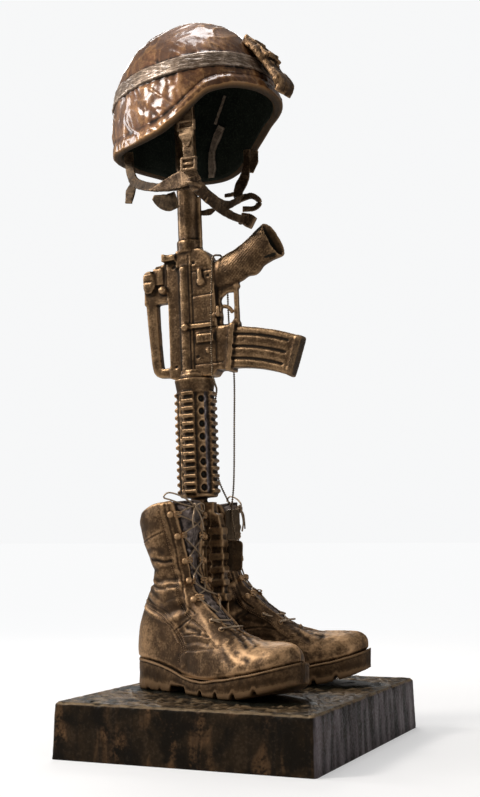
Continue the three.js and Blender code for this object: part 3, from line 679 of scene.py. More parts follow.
# %% [markdown]
# ## Where things stand
# Each large piece was drawn level in its own frame and then turned into place, so its
# rings stay simple. The same places as the solids' are repeated here, in millimetres.

# %% Where things stand
RIGHT_BOOT = stand((-157, -24.5, 80.3), -20)
LEFT_BOOT = stand((-151, 60, 80.3), 11)
RIFLE_STAND = stand((-73.6, 11.5, 80), 0, -2.3)
HELMET_STAND = stand((-82, 7, 949), -8.3, -8.1, -0.6)
print("helmet stands at", [round(v) for v in HELMET_STAND.translation])

# %% [markdown]
# ## Plinth
# The block's sides come up slightly inwards, its edges are chipped, and its top was
# modelled as trodden ground. Rings that run round the block and then shrink over the top
# keep one skin without seams at the edges, which a box with a displaced lid would show.

# %% Plinth
PLINTH_HALF, PLINTH_TOP = np.array([197, 241]), 80
BOOT_LONG = 316


def ground_height(x, y):
    coarse = np.sin(x * 0.045 + 1.3) * np.cos(y * 0.038 - 0.6)
    fine = np.sin(x * 0.11 + y * 0.07) * np.cos(y * 0.12 - x * 0.05 + 2)
    return PLINTH_TOP - 4 * (0.5 - 0.3 * coarse - 0.2 * fine)


def rounded_rectangle(a, b, radius, step):
    corners = []
    for cx, cy, start in ((a, -b, -90), (a, b, 0), (-a, b, 90), (-a, -b, 180)):
        t = np.radians(np.linspace(start, start + 90, 7))
        corners += list(zip(cx - math.copysign(radius, cx) + radius * np.cos(t),
                            cy - math.copysign(radius, cy) + radius * np.sin(t)))
    loop = np.array(corners + corners[:1])
    s = np.r_[0, np.cumsum(np.hypot(*np.diff(loop, axis=0).T))]
    at = np.linspace(0, s[-1], int(s[-1] / step), endpoint=False)
    return np.stack([np.interp(at, s, loop[:, i]) for i in (0, 1)], 1)


def under_sole(points, place, mirrored):
    local = (points - np.array(place)[:3, 3]) @ np.array(place)[:3, :3]
    v = local[:, 1] * (1 if mirrored else -1)
    u = local[:, 0]
    along = [0, 70, 158, 228, 285, BOOT_LONG]
    wide = np.where(v > 0, np.interp(u, along, [37, 38, 48, 54, 40, 10]),
                    np.interp(u, along, [37, 37, 38, 49, 40, 10]))
    return np.maximum(np.maximum(np.abs(v) - wide, -u), u - BOOT_LONG)


def plinth_shell():
    half_x, half_y = PLINTH_HALF
    rim = rounded_rectangle(half_x, half_y, 6, 2.9)
    rings = [np.column_stack([rim, np.zeros(len(rim))])]
    for z in np.r_[np.linspace(1, 74.5, 26), 76, 77.3, 78.2, 78.8]:
        inset = 2.5 * z / PLINTH_TOP + 3.2 * ease(74, 79, z) ** 2
        rings.append(np.column_stack([rim * (1 - inset / PLINTH_HALF), np.full(len(rim), z)]))
    for inset in np.r_[7.0, 9.0, np.arange(11.5, 190, 2.9), 194.5]:
        flat = rim * (1 - inset / PLINTH_HALF)
        rings.append(np.column_stack([flat, ground_height(flat[:, 0], flat[:, 1])]))
    points, tris = skin(rings)
    x, y, z = points.T
    top = (z > 75) & (np.abs(x) < half_x - 6) & (np.abs(y) < half_y - 6)
    inward = np.minimum(half_x - np.abs(x), half_y - np.abs(y))
    ground = 0.9 * rough(points, 26, 3) + 1.3 * rough(points, 9, 5, 3)
    stones = np.maximum(lumps(points, 13, 9) - 0.15, 0) * 3.4 - np.maximum(lumps(points, 7, 14) - 0.35, 0) * 3
    z = z + np.where(top, np.minimum(ground + stones, 2.2), 0) * ease(4, 14, inward)
    gap = np.minimum(under_sole(points, RIGHT_BOOT, False), under_sole(points, LEFT_BOOT, True))
    level = np.where(top, np.clip(80.6 - z, 0, 3) * ease(14, 0, gap + 3 * lumps(points, 16, 21)), 0)
    z = np.where(top, np.clip(z + level * (gap < 12), 72, PLINTH_TOP + 2.2 * (gap > 0)), z)
    side = (points[:, 2] > 2) & ~top
    ends = np.abs(x) / half_x > np.abs(y) / half_y
    out = unit(np.stack([np.where(ends, x, 0), np.where(ends, 0, y), np.zeros_like(x)], 1))
    wave = 0.55 * rough(points * (1, 1, 0.4), 34, 6) + 0.35 * rough(points, 8, 8)
    chips = np.maximum(lumps(points, 11, 12), 0) * 2.4 * ease(70, 78, points[:, 2])
    points = np.column_stack([x, y, z]) + out * np.where(side, np.minimum(wave, 0.4) - chips, 0)[:, None]
    # Painted shade round the soles, where the boots meet the ground, plus dark patches near the top's edge.
    shade_and_dark_patches = np.where(top, ease(26, 2, gap) * 0.8 + 0.35 * ease(40, 8, inward) * (lumps(points, 40, 31) > -0.1), 0)
    return (points, tris), shade_and_dark_patches


block, shade_and_dark_patches = plinth_shell()
cast("plinth_block", "plinth", PLINTH, [block], dark=shade_and_dark_patches)

# %% [markdown]
# ## Helmet
# The helmet wears a cloth cover, cast with it: long creases run down behind, curved folds
# cross the crown, a woven band goes round, and the cloth is rolled under the brow. The
# shell follows the solid's own formula at many more points, then folds are pressed into
# it from noise that is stretched along the cloth. Cloth simulation would wander off it.
# Cover, band and inside are one closed shell with three finishes, so nothing can gape.

# %% The shell's shape
RIM = flowing([(0, 36), (38, 35), (54, 29), (64, 12), (76, -8), (88, -20), (104, -24), (126, -19),
               (150, -8), (180, -5)], 4)
LONG, NAPE, WIDE, HIGH, WALL = 140, 4, 120, 187, 10
BAND_LOW, BAND_HIGH = 64, 94
SIDES, CROWN, BELT, SKIRT, ROLL, INSIDE = 330, 96, 24, 41, 5, 40
FIRST_INSIDE = CROWN + BELT + SKIRT + ROLL


def rim_height(turn):
    degrees = np.abs(np.degrees(np.arctan2(np.sin(turn), np.cos(turn))))
    droop = np.where(np.sin(turn) > 0, 5 * ease(80, 100, degrees) * (1 - ease(130, 165, degrees)), 0)
    return RIM(degrees) - droop


def on_helmet(turn, z, inset=0.0, puff=0.0):
    c, s = np.cos(turn), np.sin(turn)
    flat = (np.abs(c) ** 2.15 + np.abs(s) ** 2.15) ** (-1 / 2.15)
    degrees = np.abs(np.degrees(np.arctan2(s, c)))
    level = np.clip(z / (HIGH - inset), 0, 1)
    reach = np.where(z > 0, (1 - level ** 2.3) ** (1 / 2.3), 1 - z * 0.0006)
    pinch = np.where(s > 0, 9 * np.exp(-((degrees - 69) / 18) ** 2) * (1 - level), 0)
    out = puff - inset - pinch
    return np.stack([reach * flat * c * (LONG + out + np.where(c < 0, NAPE, 0)),
                     reach * flat * s * (WIDE + out), z + 0 * turn], -1)


def helmet_rings():
    turn = np.arange(SIDES) * 2 * np.pi / SIDES
    rim = rim_height(turn)
    brow = 0.4 + 0.6 * ease(-0.3, 0.4, np.cos(turn))
    rings = []
    for t in np.linspace(0.995, 0, CROWN) ** 0.85:
        rings.append(on_helmet(turn, BAND_HIGH + (HIGH - BAND_HIGH) * np.sin(t * np.pi / 2)))
    for z in np.linspace(BAND_HIGH - 1, BAND_LOW + 1, BELT):
        proud = 3.0 * ease(94, 91.5, z) * ease(64.5, 67, z) - 1.1 * ease(69, 67, z) * ease(63, 66, z)
        rings.append(on_helmet(turn, z + 0 * turn, puff=proud))
    for t in np.linspace(0, 1, SKIRT + 1)[1:]:
        z = BAND_LOW + (rim - BAND_LOW) * t
        roll = 4.2 * ease(19, 8, z - rim) - 1.0 * np.exp(-((z - rim - 19) / 2.5) ** 2)
        rings.append(on_helmet(turn, z, puff=roll * brow))
    roll = 4.2 * brow
    for angle in np.radians([25, 55, 90, 125, 155]):
        inset = 6.5 * (1 - np.cos(angle)) - roll * np.cos(angle / 2)
        rings.append(on_helmet(turn, rim - 4.5 * np.sin(angle), inset=inset))
    for t in np.linspace(0.02, 0.985, INSIDE):
        rings.append(on_helmet(turn, rim + (HIGH - WALL - rim) * np.sin(t * np.pi / 2), inset=WALL))
    return np.array(rings)


def folds_of_cloth(points, turn, z, rim):
    at = np.stack([turn * 130, z, np.zeros_like(z)], -1)
    behind = ease(60, 130, np.abs(np.degrees(np.arctan2(np.sin(turn), np.cos(turn)))))
    a, b = at[..., 0] + 9 * lumps(at, 34, 4), at[..., 1] + 8 * lumps(at, 30, 7)
    sway = np.stack([a, b, 0 * z], -1)
    long_folds = creased(sway * (1 / 8.0, 1 / 46.0, 1), 1.0, 11) * (0.35 + 0.65 * behind)
    leaning = np.stack([a * 0.8 + b * 0.75, b * 0.8 - a * 0.6, 0 * z], -1)
    crossing = creased(leaning * (1 / 13.0, 1 / 52.0, 1), 1.0, 15)
    crown = ease(100, 135, z)
    swirl = points + 15 * np.stack([lumps(points, 55, seed) for seed in (41, 42, 43)], -1)
    curved = creased(swirl * (1 / 17.0, 1 / 30.0, 1 / 17.0), 1.0, 19)
    gathers = creased(at * (1 / 6.5, 1 / 40.0, 1), 1.0, 23)
    near_band = (np.exp(-np.maximum(66 - z, 0) / 15) * (z < 66)
                 + np.exp(-np.maximum(z - 93, 0) / 11) * (z > 93))
    near_rim = ease(24, 4, z - rim)
    relief = 1.3 * rough(points, 50, 2, 2) + (1 - crown) * (0.95 * long_folds + 0.6 * crossing)
    relief = relief + crown * 0.95 * curved + 0.6 * near_band * gathers
    relief = relief + 0.35 * near_rim * creased(at * (1 / 9.0, 1 / 30.0, 1), 1.0, 27)
    return relief + 0.16 * rough(points, 7, 31, 3)


rings = helmet_rings()
flat = rings.reshape(-1, 3)
z = flat[:, 2]
turn = np.tile(np.arange(SIDES) * 2 * np.pi / SIDES, len(rings))
row = np.repeat(np.arange(len(rings)), SIDES)
cloth = (row < FIRST_INSIDE - ROLL) * 1.0
band = ease(64.5, 67, z) * ease(93.5, 91, z) * (row >= CROWN) * (row < CROWN + BELT)
press = folds_of_cloth(flat, turn, z, rim_height(turn)) * (cloth - 0.8 * band)
along_band = np.stack([turn * 130 / 15 + z / 9, z / 3.2, 0 * turn], -1)
weave = np.sin(turn * 330 * np.pi / 4.1) * np.sin(z * 1.7) * 0.22 + 0.5 * creased(along_band, 1.0, 53)
press = press + band * (weave + 0.4 * lumps(flat, 9, 51))
press = press + 0.35 * rough(flat, 18, 61) * (row >= FIRST_INSIDE)
lift_out = normals(*skin(rings))[:-2]
shell = skin((flat + lift_out * press[:, None]).reshape(rings.shape))
is_inside = row >= FIRST_INSIDE - 1
finish = np.where(is_inside, 2, band > 0.5)
# Painted shade: the under face of the rolled rim and the inside of the shell go towards the near-black shade colour.
rim_and_inside_shade = ease(FIRST_INSIDE - 7, FIRST_INSIDE - 3, row) * np.where(is_inside, 0.8, 0.9)
print("folds stand out up to", round(float(press.max()), 1), "mm")

# %% [markdown]
# ## What is fixed to the helmet
# At the brow a rough stepped mount stands proud, with a hook under it, and behind there is
# a small slide on the band. They are lofted straps and small blocks fused into one lump and
# roughened, because on the casting they have lost their crisp edges. Both have the boots'
# duller brown, as the gloss of the cloth cover stops at them.

# %% The brow mount and the rear slide
def brow_mount():
    plate_line = curve([(112, 0, 129), (130, 0, 108), (142, 0, 86), (153, 0, 64), (162, 0, 46),
                        (162, 0, 32)], 4)
    t = np.linspace(0, 1, len(plate_line))
    wide = np.interp(t, [0, 0.08, 0.3, 0.45, 0.55, 0.75, 0.92, 1], [36, 50, 56, 54, 42, 44, 52, 44])
    wide = np.stack([wide, np.ones_like(wide)], 1)
    parts = [sweep(plate_line, oval(1, 11, 16, 6), (0, 1, 0), wide)]
    for y in (-20, 20):
        rail = curve([(119, y, 130), (129, y, 118), (141, y, 103), (151, y, 86)], 4)
        parts.append(sweep(rail, oval(8, 9, 12, 5), (0, 1, 0)))
    for x, z, half, wide, high, power in ((131, 119, 14, 8, 8, 5), (150, 92, 12, 10, 9, 5),
                                          (160, 58, 15, 9, 8, 2)):
        parts.append(sweep(curve([(x, -half, z), (x + 1, half, z)], 4), oval(wide, high, 12, power)))
    for y in (-14.4, 0, 14.4):
        prong = curve([(158, y, 62), (167, y, 47), (167, y, 35), (159, y, 25)], 3)
        parts.append(sweep(prong, oval(16, 8, 12, 4), (0, 1, 0)))
    for y, z in ((-9, 104), (9, 104), (-9, 76), (9, 76)):
        x = 150 - (z - 76) * 0.52
        parts.append(rod((x, y, z), (x + 5, y, z + 3), 4.4))
    points, tris = fused(parts, 1.3, 2)
    out = normals(points, tris)
    pits = 0.55 * rough(points, 9, 71) + np.minimum(lumps(points, 5, 73) + 0.25, 0) * 1.4
    return points + out * pits[:, None], tris


def rear_slide():
    upright = sweep(curve([(-131, -14, 94), (-142, -14, 66)], 3), oval(24, 9, 14, 6), (0, 1, 0))
    level = sweep(curve([(-138, -27, 79), (-138, -1, 79)], 3), oval(7, 7, 10))
    points, tris = fused([upright, level], 1.2, 2)
    return points + normals(points, tris) * (0.3 * rough(points, 6, 81))[:, None], tris


mount, slide = brow_mount(), rear_slide()
fixed = len(mount[0]) + len(slide[0])
cast("helmet_cover", "helmet", [HELMET, BAND, LINING, BOOT],
     [shell, mount, slide], HELMET_STAND, dark=np.r_[rim_and_inside_shade, np.zeros(fixed + 2)],
     finish=np.r_[finish, 0, 2, np.full(fixed, 3)])

# %% [markdown]
# ## Boots
# Each boot is a combat boot: a thick lugged sole that rises at the toe, a smooth counter at
# the heel, a creased vamp, a laced throat with a tongue, and an open shaft. The upper is a
# stack of rings read from the boot's side profile and its widths. Rings are spaced along the
# instep, not by height, because the foot's top lies nearly level and would be left coarse.

# %% The boot's outlines
BACK = flowing([(20, 2), (27, 2), (42, -3), (59, -6), (87, -4), (110, 3), (132, 10), (150, 18), (163, 29),
                (178, 30), (196, 21), (215, 11), (240, 6), (262, 2), (280, 4)], 4)
FRONT_LINE = [(18, 310), (27, 310), (40, 311), (50, 309), (59, 303), (67, 292), (73, 274), (77, 242), (84, 214),
              (92, 193), (105, 180), (118, 166), (134, 146), (150, 125), (164, 111), (178, 106), (210, 105),
              (250, 107), (262, 109), (280, 104)]
OUTER = flowing([(-6, 20), (0, 37), (70, 38), (110, 39), (158, 48), (196, 53), (228, 54), (260, 49), (285, 40),
                 (304, 25), (318, 4)], 5)
INNER = flowing([(-6, 20), (0, 37), (70, 37), (110, 35), (158, 38), (196, 45), (228, 49), (260, 47), (285, 40),
                 (304, 27), (318, 6)], 5)
WELT = flowing([(-8, 46), (0, 46), (40, 44), (72, 39), (96, 33), (118, 26), (145, 22), (172, 22), (200, 27),
                (240, 32), (280, 31), (324, 28)], 5)
FRONT = flowing(FRONT_LINE, 7)
SHAFT = flowing([(110, 38), (160, 38), (180, 40), (215, 44), (250, 46), (262, 48), (280, 45)], 6)
_heights = np.linspace(56, 180, 400)
TOP_OVER = (FRONT(_heights)[::-1], _heights[::-1])


def boot_width(u, h, side):
    back, front = BACK(h), FRONT(h)
    foot = np.where(side > 0, OUTER(u), INNER(u)) - 3
    top = np.where(u < TOP_OVER[0][0], TOP_OVER[1][0] + (TOP_OVER[0][0] - u) * 9, np.interp(u, *TOP_OVER))
    rise = np.clip((h - 27) / (top - 27), 0, 1)
    arch = (1 - rise ** 2.3) ** (1 / 2.3)
    w = ease(110, 175, h)
    body = foot * arch * (1 - w) + (SHAFT(h) - np.where(side > 0, 0, 5 * ease(150, 215, h))) * w
    heel = np.clip((u - back) / 42, 0, 1)
    toe = np.clip((front - u) / (26 + 30 * w), 0, 1)
    return np.maximum(body * np.sqrt(heel * (2 - heel)) * np.sqrt(toe * (2 - toe)), 0)


def lifted(u, h):
    bend = np.clip((u / BOOT_LONG - 0.68) / 0.32, 0, 1)
    collar = np.interp(u, [0, 22, 60, 105], [-20, -11, 0, 9]) * ease(200, 275, h)
    return 26 * bend ** 1.7 * (1 - ease(40, 130, h)) + collar


def in_boot(flat):
    u, v, h = np.asarray(flat, float).T
    return np.stack([u, -v, h + lifted(u, h)], 1)


AROUND = 224
OUTSIDE_ROWS, COLLAR_TOP, INSIDE_FROM = 210, 216, 222


def boot_ring(h, inset=0.0):
    back, front = BACK(h), FRONT(h)
    t = np.linspace(0, 2, AROUND, endpoint=False)
    side = np.where(t <= 1, 1, -1)
    t = np.where(t <= 1, t, 2 - t)
    u = back + (front - back) * (1 - np.cos(np.pi * t)) / 2
    v = boot_width(u, h, side)
    v = v * (1 - inset / max(v.max(), 1))
    middle = (back + front) / 2
    u = middle + (u - middle) * (1 - 2 * inset / (front - back))
    return np.stack([u, side * v, np.full(AROUND, float(h))], 1)


fine = np.linspace(22, 275, 700)
arc = np.r_[0, np.cumsum(np.hypot(np.diff(fine), 0.8 * np.diff(FRONT(fine))))]
UPPER_ROWS = np.interp(np.linspace(0, arc[-1], OUTSIDE_ROWS), arc, fine)
upper_rings = [boot_ring(h) for h in UPPER_ROWS]
for angle in np.radians([30, 60, 90, 120, 150, 180]):
    upper_rings.append(boot_ring(275 + 2.2 * np.sin(angle), 2.5 * (1 - np.cos(angle))))
for h in np.linspace(272, 122, 46):
    upper_rings.append(boot_ring(h, 5 + 4.5 * float(ease(273, 258, h))))
upper_rings = np.array(upper_rings)
print("upper:", upper_rings.shape[0], "rings of", AROUND)

# %% [markdown]
# ## Seams, panels and creases
# The leather's panels overlap by a millimetre, with two or three rows of stitches at their
# edges, and it has folded deeply at the ankle. Their lines are given as height and distance
# from the heel, and pressed into the skin: a panel as a step, a crease as a valley with a
# swelling on each side. Separate panels laid over each other would leave gaps at the folds.

# %% Lines on the leather
COUNTER = [(-12, 30), (-12, 128), (20, 127), (36, 120), (62, 109), (85, 95), (101, 81), (112, 66), (114, 57),
           (108, 45), (110, 30)]
COUNTER_TAPE = [(24, 127), (40, 122), (67, 113), (90, 100), (105, 84), (117, 70), (120, 59), (117, 44)]
VAMP = [(110, 20), (110, 35), (108, 45), (112, 54), (122, 60), (150, 63), (192, 69), (207, 81), (200, 96),
        (330, 130), (330, 20)]
EYESTAY = [(72, 275), (80, 239), (86, 204), (90, 180), (101, 150), (110, 124), (128, 110), (156, 96), (174, 82),
           (189, 72), (203, 74), (207, 86), (196, 100), (160, 140), (130, 172), (125, 275)]
FACING_SEAM = [(80, 272), (86, 244), (92, 209), (95, 182), (106, 152), (118, 128), (134, 116)]
COLLAR_SEAM = [(0, 215), (20, 219), (40, 223.6), (62, 230), (77, 235)]
QUARTER_SEAM = [(98, 89), (108, 96), (127, 109)]
PANEL_SEAM = [(118, 84), (146, 87), (171, 84)]
CREASES = [
    ([(30, 160), (46, 157), (65, 152), (83, 153), (99, 155)], 1.8, 3.0),
    ([(62, 162), (76, 165), (92, 165)], 2.4, 7.0),
    ([(54, 194), (74, 190), (86, 192)], 1.3, 2.6), ([(44, 208), (60, 211), (74, 204)], 0.8, 4.0),
    ([(40, 180), (58, 177), (84, 178)], 0.8, 4.0),
    ([(36, 131), (56, 121), (76, 116), (94, 119), (107, 124)], 2.4, 6.0),
    ([(103, 150), (110, 134), (114, 122)], 1.2, 3.5), ([(44, 150), (58, 142), (66, 132)], 0.7, 5.0),
    ([(124, 96), (140, 93), (152, 90)], 1.4, 3.0), ([(128, 74), (150, 76), (170, 74)], 0.9, 3.0),
]
PUFFS = [((70, 138), 15, 2.8), ((97, 107), 12, 2.2), ((66, 183), 11, 1.8), ((58, 200), 10, 1.4),
         ((120, 138), 9, 1.2)]
VAMP_CREASES = [
    ([(188, 13, 94), (211, 16, 84), (238, 30, 70)], 0.9, 3.4),
    ([(190, 3, 95), (214, 4, 85), (252, 25, 70)], 0.8, 3.4),
    ([(206, 30, 77), (226, 38, 63), (250, 44, 52)], 0.6, 4.4),
    ([(212, -14, 85), (236, 0, 77), (264, 16, 70)], 0.6, 4.0),
    ([(196, -22, 88), (210, -30, 78), (228, -36, 64)], 0.8, 3.8),
    ([(196, 34, 74), (208, 42, 60), (226, 50, 46)], 0.5, 4.4),
    ([(206, -10, 88), (222, -20, 79), (246, -26, 70)], 0.7, 3.6),
    ([(232, 20, 75), (250, 30, 66), (270, 34, 58)], 0.4, 4.0),
]


def on_side(line, side=1, step=2.0):
    uh = curve([(u, 0, h) for u, h in line], step)
    v = boot_width(uh[:, 0], uh[:, 2], side) * side
    return np.stack([uh[:, 0], v, uh[:, 2]], 1)


def inside_line(points, outline):
    u, h = points[:, 0], points[:, 2]
    hit = np.zeros(len(points), bool)
    for (u0, h0), (u1, h1) in zip(outline, outline[1:] + outline[:1]):
        crosses = (h0 > h) != (h1 > h)
        hit ^= crosses & (u < (u1 - u0) * (h - h0) / (h1 - h0 + 1e-9) + u0)
    return hit


def step_at(points, outline, height, side, soft=1.6):
    gap = gap_to(points, on_side(outline + outline[:1], side), 6.0)
    inside = inside_line(points, outline) & (points[:, 1] * side >= 0)
    half_step = np.where(inside, 0.5, -0.5) * ease(0, soft, gap)
    return height * (0.5 + half_step) * (points[:, 1] * side > -2)


def valley(gap, depth, width):
    swelling = 0.5 * depth * np.exp(-((gap - 2 * width) / width) ** 2) * ease(18, 13, gap)
    return swelling - depth * np.exp(-(gap / width) ** 2)


print("creases on each side:", len(CREASES) + len(VAMP_CREASES))

# %% [markdown]
# ## Pressing the leather
# Overlays stand a millimetre proud, seams are fine grooves with a raised lip, and creases are
# valleys with swellings beside them, as leather folds. The tongue lies deeper between the
# rows of rings, wrinkled, and has a finish of its own, as the shaft's inside has too.

# %% Pressing the leather
def press_leather(points, wall, seed, deepen):
    relief = np.zeros(len(points))
    u, v, h = points.T
    for side in (1, -1):
        for line, height in ((COUNTER, 0.9), (VAMP, 1.0), (EYESTAY, 1.1)):
            relief += step_at(points, line, height, side)
        tape = gap_to(points, on_side(COUNTER_TAPE, side), 12)
        relief += 0.8 * ease(7.6, 6.6, tape) - 0.35 * np.exp(-((tape - 2.4) / 0.8) ** 2)
        for line in (COLLAR_SEAM, QUARTER_SEAM, PANEL_SEAM, FACING_SEAM):
            seam = gap_to(points, on_side(line, side), 8)
            relief += -0.9 * np.exp(-(seam / 1.2) ** 2) + 0.35 * np.exp(-((seam - 3) / 1.5) ** 2)
        for i, (line, depth, width) in enumerate(CREASES):
            du, dh = (side < 0) * 4 * math.sin(i * 2.1), (side < 0) * 5 * math.cos(i * 1.7)
            track = on_side([(a + du, b + dh) for a, b in line], side)
            sway = [lumps(track, 14, seed + i), 0 * u[:len(track)], lumps(track, 14, seed + 9 + i)]
            track = track + 1.6 * np.stack(sway, 1)
            relief += deepen * valley(gap_to(points, track, 18), depth, width)
        for (a, b), size, height in PUFFS:
            swell = height * np.exp(-(((u - a) / 1.3) ** 2 + (h - b) ** 2) / size ** 2)
            relief += deepen * swell * (v * side > 2)
    for i, (line, depth, width) in enumerate(VAMP_CREASES):
        track = curve(line, 2)
        relief += deepen * valley(gap_to(points, track, 18), depth, width)
    relief -= 3.2 * ease(70, 20, u) * ease(92, 150, h)
    throat = np.interp(h, [92, 100, 124, 141, 147, 164, 180, 202, 222, 243, 263, 275],
                       [8, 12, 15, 13, 15, 11, 10, 13.5, 19, 25, 31, 32])
    front = ease(44, 34, FRONT(h) - u) * ease(93, 100, h)
    tongue = front * ease(1.5, -1.5, np.abs(v) - throat)
    wrinkles = 1.1 * creased(points * (1, 0.35, 1), 13, seed + 40) + 0.7 * rough(points, 8, 44)
    relief += tongue * (wrinkles - 5.0)
    relief += 0.5 * front * np.exp(-((np.abs(v) - throat - 2.5) / 1.6) ** 2)
    shaft = ease(112, 140, h)
    relief += (0.4 + 0.8 * shaft) * rough(points * (1, 0.6, 1.1), 42, seed + 3, 2)
    relief += 0.22 * rough(points, 9, seed + 6, 3)
    relief += 0.2 * shaft * creased(points * (0.6, 1, 1.2), 19, seed + 8)
    bend = ease(182, 200, u) * ease(262, 236, u) * (h < 110)
    relief += 0.3 * bend * creased(points * (1.3, 0.5, 1.2), 8, seed + 15)
    toe = ease(190, 215, u) * ease(28, 45, h)
    relief += toe * 0.45 * rough(points, 20, seed + 21, 2)
    relief += toe * 0.26 * creased(points * (1, 1, 1.3), 9, seed + 25)
    return relief * wall, tongue


def upper_of(seed, deepen):
    flat = upper_rings.reshape(-1, 3)
    row = np.repeat(np.arange(len(upper_rings)), AROUND)
    wall = np.where(row < OUTSIDE_ROWS, ease(-1, 12, flat[:, 2] - 20), ease(INSIDE_FROM, OUTSIDE_ROWS, row))
    relief, tongue = press_leather(flat, wall, seed, deepen)
    relief = np.where(row > COLLAR_TOP, 0.3 * rough(flat, 14, 77), np.maximum(relief, -7))
    relief = relief - 2.6 * ease(5, 0, flat[:, 2] - WELT(flat[:, 0])) * (row < OUTSIDE_ROWS)
    points, tris = skin(in_boot(flat).reshape(upper_rings.shape))
    out = normals(points, tris)
    points = points + out * np.r_[relief, 0, 0][:, None]
    # Brighter toe and heel: the toe partly rubbed by touch and partly a painted highlight, the heel a painted
    # highlight.
    polish_and_painted_light = ease(196, 250, flat[:, 0]) * ease(34, 70, flat[:, 2]) * (row < OUTSIDE_ROWS) * 0.62
    polish_and_painted_light = polish_and_painted_light + 0.42 * ease(70, 40, flat[:, 0]) * ease(118, 90, flat[:, 2]) * (row < OUTSIDE_ROWS)
    # Painted shade: the inside of the shaft goes towards the near-black shade colour.
    shaft_inside_shade = np.where(row < OUTSIDE_ROWS, 0, ease(OUTSIDE_ROWS + 2, INSIDE_FROM + 2, row))
    parts = np.where(row > COLLAR_TOP, 2, (tongue > 0.5) * 1)
    return (points, tris), np.r_[shaft_inside_shade, 0, 1], np.r_[polish_and_painted_light + 0.5 * tongue, 0, 0], flat, np.r_[parts, 0, 2]


right_upper, right_dark, right_polish_and_light, BOOT_MAP, right_parts = upper_of(5, 1.0)
left_upper, left_dark, left_polish_and_light, _, left_parts = upper_of(105, 0.85)
print("upper skin points:", len(right_upper[0]))

# %% [markdown]
# ## Sole
# The sole is thick under the heel and thin at the arch, with deep lugs and a stitched welt
# that stands out all round. It is one closed run of sections from heel to toe: each section
# knows whether it falls on a lug or in a notch.

# %% Sole
def sole_shell():
    t = np.linspace(0, 1, 300)
    stations = 0.6 + 314.9 * (1 - np.cos(np.pi * t)) / 2
    rings = []
    for k, u in enumerate(stations):
        notch = 9 * ease(91, 93, u) * ease(129, 127, u)
        for n in range(4):
            at = 160 + 34 * n
            notch = max(notch, 7 * ease(at - 1, at + 3, u) * ease(at + 10, at + 6, u))
        for at in (14, 40, 66):
            notch = max(notch, 2.6 * ease(at - 1, at + 1, u) * ease(at + 7, at + 5, u))
        heel = math.sqrt(max(0.0, 1 - (1 - min(u / 41, 1)) ** 2))
        toe = math.sqrt(max(0.0, 1 - (1 - min((316.5 - u) / 9, 1)) ** 2))
        stitch = 0.55 * math.sin(k * 2.1) * (1 if u > 40 else 0.4)
        ring = []
        for side in (1, -1):
            wide = ((OUTER if side > 0 else INNER)(u) + 1.5) * heel * toe
            top = float(WELT(u))
            low = min(notch, top - 8)
            rows = [(low, 0.5), (low, wide - 3.5), (low + 0.8, wide - 1.2), (low + 2.5, wide - 0.2)]
            rows += [(low + (top - 7 - low) * f, wide + 0.35 * math.sin(f * 9))
                     for f in (0.25, 0.42, 0.6, 0.78, 0.92)]
            rows += [(top - 5.0, wide), (top - 4.2, wide - 0.3), (top - 3.4, wide + 0.6), (top - 2.2, wide + 0.9),
                     (top - 0.9, wide + 0.7), (top - 0.1 + stitch, wide - 0.5), (top + stitch, wide - 2.0),
                     (top - 0.5, wide - 4.4), (top - 1.5, wide - 7), (top - 4, 0.5)]
            rows = [(u, side * max(w, 0.3), h) for h, w in rows]
            ring += rows if side > 0 else rows[::-1]
        rings.append(ring)
    rings = np.array(rings)
    points, tris = skin(in_boot(rings.reshape(-1, 3)).reshape(rings.shape))
    worn_down = 0.3 * rough(points, 12, 15) + 0.22 * rough(points, 4, 18)
    return points + normals(points, tris) * worn_down[:, None], tris


sole = sole_shell()
SOLE_NODES = [("right_boot", RIGHT_BOOT, False), ("left_boot", LEFT_BOOT, True)]
for node, place_at, mirrored in SOLE_NODES:
    cast(node.replace("boot", "sole"), node, SOLE, [sole], place_at, mirror=mirrored)

# %% [markdown]
# ## Hooks, eyelets, stitches and laces
# Ball-headed hooks stand beside small wire rings, with eyelets lower down. The laces were
# real once and were cast stiff, so they stand a little off the tongue. Each is seated on the
# pressed skin by looking up the nearest points there, so that nothing floats or sinks.

# %% Seating things on the leather
def seat(upper, at, out=0.0, front=False):
    flat = BOOT_MAP[:OUTSIDE_ROWS * AROUND]
    found = []
    for u, v, h in np.atleast_2d(np.asarray(at, float)):
        if front:
            gap = (flat[:, 1] - v) ** 2 + (flat[:, 2] - h) ** 2 + np.where(flat[:, 0] > FRONT(h) - 75, 0, 1e6)
        else:
            gap = (flat[:, 0] - u) ** 2 + (flat[:, 2] - h) ** 2 + np.where(flat[:, 1] * v >= 0, 0, 1e6)
        near = np.argpartition(gap, 6)[:6]
        share = 1 / (gap[near] + 0.3)
        share = share[:, None] / share.sum()
        facing = unit((BOOT_OUT[id(upper[0])][near] * share).sum(0))
        found.append(np.r_[(upper[0][near] * share).sum(0), facing])
    found = np.array(found)
    return found[:, :3] + found[:, 3:] * out, found[:, 3:]


BOOT_OUT = {id(shell[0]): normals(*shell) for shell in (right_upper, left_upper)}
HOOKS = [(35.2, 257), (26.8, 227), (18.2, 192), (17.5, 160), (23.9, 133.5)]
RINGS = [(30, 256), (21, 228), (13.5, 193.5), (12, 162), (17.5, 136.5)]
EYELETS = [(24.6, 105.7), (22.8, 93.5)]


def ball_hook(at, out):
    at, out = np.asarray(at), np.asarray(out)
    line = at + out * np.array([-1.5, 2.0, 3.0, 4.2, 6.4, 8.0, 8.6])[:, None]
    return sweep(line, oval(2, 2, 12), grow=np.array([3.6, 3.4, 3.0, 4.6, 5.0, 3.8, 0.9])[:, None])


